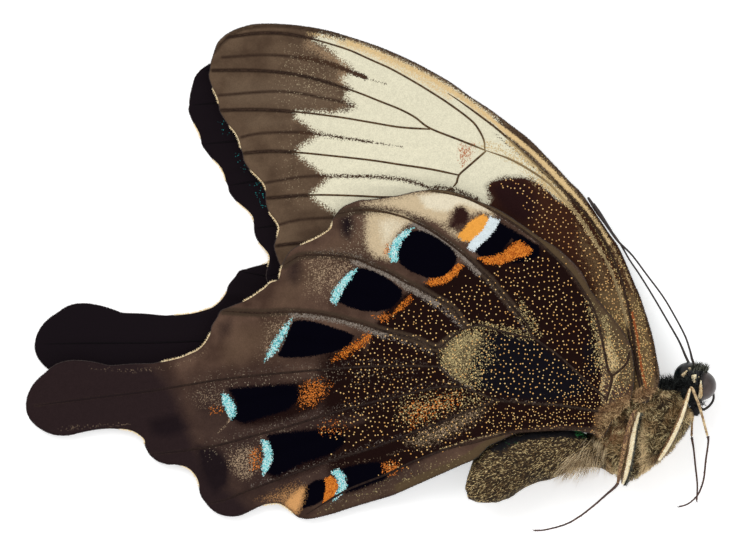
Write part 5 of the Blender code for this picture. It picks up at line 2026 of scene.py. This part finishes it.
def claw_ends(rows):
    """The roots and tips of the two claws at a foot's end."""
    before, toe = in_metres(rows[-2:])[:, :3]
    way = toe - before
    way /= np.linalg.norm(way)
    across = np.cross(way, UP)
    tip = toe + way * 0.00018
    tips = [tip + across * sign * 0.00016 - (0, 0, 0.00004) for sign in (-1, 1)]
    return np.array([toe - way * 0.00004] * 2), np.array(tips)


def thigh_hair(name, rows, chance):
    """Grey hair along the front of a thigh."""
    count = 900
    thigh = smooth_line(np.array(rows, float)[:, :3], 0.12)
    x, y, height = thigh[chance.integers(len(thigh), size=count)].T
    x = x + chance.uniform(1.0, 3.6, count)
    roots = raised(x, y, height / 1000 + chance.uniform(-0.0002, 0.0003, count))
    hairs(
        name, bpy.data.materials["brow_hair"], "leg", chance, roots,
        (285, 30), ("uniform", 0.00015, 0.0004), ("uniform", 0, 0.4), 0.00004,
    )


def dress_leg(name, segments, seed, scales, spines):
    """One leg: its three parts, its spines and its claws."""
    parts = [(rows, LEG_KINDS[kind]) for kind, rows in segments]
    limb(f"{name}_segments", parts, scales, "leg", name)
    chance = np.random.default_rng(seed)
    ends = [spine_ends(rows, chance) for _, rows in segments[1:]]
    ends.append(claw_ends(segments[-1][1]))
    roots, tips = (np.vstack(group) for group in zip(*ends))
    tips[:, 2] = np.maximum(tips[:, 2], LOWEST_TIP)
    if name == "leg_mid_right":
        thigh_hair(f"{name}_hair", segments[0][1], chance)
    piece = blades(f"{name}_spines", roots, tips, 0.00005, parts=FRINGE_PARTS)
    shuffle_strands(piece.data, chance, points_in(FRINGE_PARTS))
    finish_piece(piece, f"{name}_spines", spines, "leg")


class SWALLOWTAIL_OT_legs(bpy.types.Operator):
    """Makes the six legs with cream-striped thighs, spines and claws."""

    bl_idname = "swallowtail.legs"
    bl_label = "Legs"

    def execute(self, context):
        scales = leg_material()
        spines = hair_material("leg_spines", (30, 20, 18), (58, 40, 34), (96, 70, 56))
        for seed, (name, segments) in enumerate(LEGS.items(), 60):
            dress_leg(name, segments, seed, scales, spines)
        return {"FINISHED"}


# Stage


class SwallowtailStageLooks(bpy.types.PropertyGroup):
    """The light, floor and camera."""

    lens: FloatProperty(
        name="Lens", description="The camera's focal length in millimetres", default=900.0
    )
    sky: FloatProperty(name="Sky", description="Strength of the even light", default=0.78)
    lamp: FloatProperty(name="Lamp", description="Strength of the soft lamp", default=1.2)
    floor_glow: FloatProperty(
        name="Floor glow", description="How much the paper floor glows", default=0.42
    )


class SWALLOWTAIL_OT_stage(bpy.types.Operator):
    """Makes the pale floor, the soft light and the camera straight above."""

    bl_idname = "swallowtail.stage"
    bl_label = "Stage"

    def execute(self, context):
        look = context.scene.swallowtail_stage
        scene = context.scene
        white = (1.0, 1.0, 1.0, 1.0)
        deselect()
        bpy.ops.mesh.primitive_plane_add(size=3.0)
        floor = context.object
        floor.name = "floor"
        glow = {"Emission_Color": white, "Emission_Strength": look.floor_glow}
        floor.data.materials.append(Shading("floor_paper", 0.9, **glow).finish((250, 250, 250)))

        world = bpy.data.worlds.new("even_sky")
        world.use_nodes = True
        back = world.node_tree.nodes["Background"]
        back.inputs["Color"].default_value = white
        back.inputs["Strength"].default_value = look.sky
        scene.world = world
        scene.view_settings.view_transform = "Standard"

        lamp = bpy.data.lights.new("soft_lamp", "AREA")
        lamp.shape = "DISK"
        lamp.size = 0.35
        lamp.energy = look.lamp
        lit = new_object("soft_lamp", lamp)
        lit.location = (-0.22, 0.26, 0.55)
        lit.rotation_euler = (-lit.location).to_track_quat("-Z", "Y").to_euler()

        camera = bpy.data.cameras.new("camera")
        camera.lens = look.lens
        camera.clip_start = 0.05
        camera.clip_end = 10.0
        eye = new_object("camera", camera)
        width = IMAGE_SIZE_PX[0] * PIXEL
        middle = place(np.array(IMAGE_SIZE_PX) / 2)
        eye.location = (*middle, BODY_HEIGHT + width / camera.sensor_width * camera.lens)
        scene.camera = eye
        return {"FINISHED"}


class SWALLOWTAIL_PT_panel(bpy.types.Panel):
    """Lists the butterfly's settings and pieces."""

    bl_label = "Peranthus Swallowtail"
    bl_space_type = "VIEW_3D"
    bl_region_type = "UI"
    bl_category = "Swallowtail"

    def draw(self, context):
        for group in LOOKS:
            settings = getattr(context.scene, group)
            for name in settings.__annotations__:
                self.layout.prop(settings, name)
        for operator in OPERATORS:
            self.layout.operator(operator.bl_idname)


LOOKS = {
    "swallowtail_wings": SwallowtailWingLooks,
    "swallowtail_body": SwallowtailBodyLooks,
    "swallowtail_stage": SwallowtailStageLooks,
}
OPERATORS = (
    SWALLOWTAIL_OT_stage,
    SWALLOWTAIL_OT_wing_materials,
    SWALLOWTAIL_OT_hindwings,
    SWALLOWTAIL_OT_forewings,
    SWALLOWTAIL_OT_thorax,
    SWALLOWTAIL_OT_abdomen,
    SWALLOWTAIL_OT_head,
    SWALLOWTAIL_OT_eyes,
    SWALLOWTAIL_OT_antennae,
    SWALLOWTAIL_OT_legs,
)


def register():
    for group in LOOKS.values():
        bpy.utils.register_class(group)
    for name, group in LOOKS.items():
        setattr(bpy.types.Scene, name, PointerProperty(type=group))
    for operator in OPERATORS:
        bpy.utils.register_class(operator)
    bpy.utils.register_class(SWALLOWTAIL_PT_panel)


def unregister():
    bpy.utils.unregister_class(SWALLOWTAIL_PT_panel)
    for operator in OPERATORS:
        bpy.utils.unregister_class(operator)
    for name, group in LOOKS.items():
        delattr(bpy.types.Scene, name)
        bpy.utils.unregister_class(group)


def main():
    register()
    for operator in OPERATORS:
        family, name = operator.bl_idname.split(".")
        getattr(getattr(bpy.ops, family), name)()


if __name__ == "__main__":
    main()
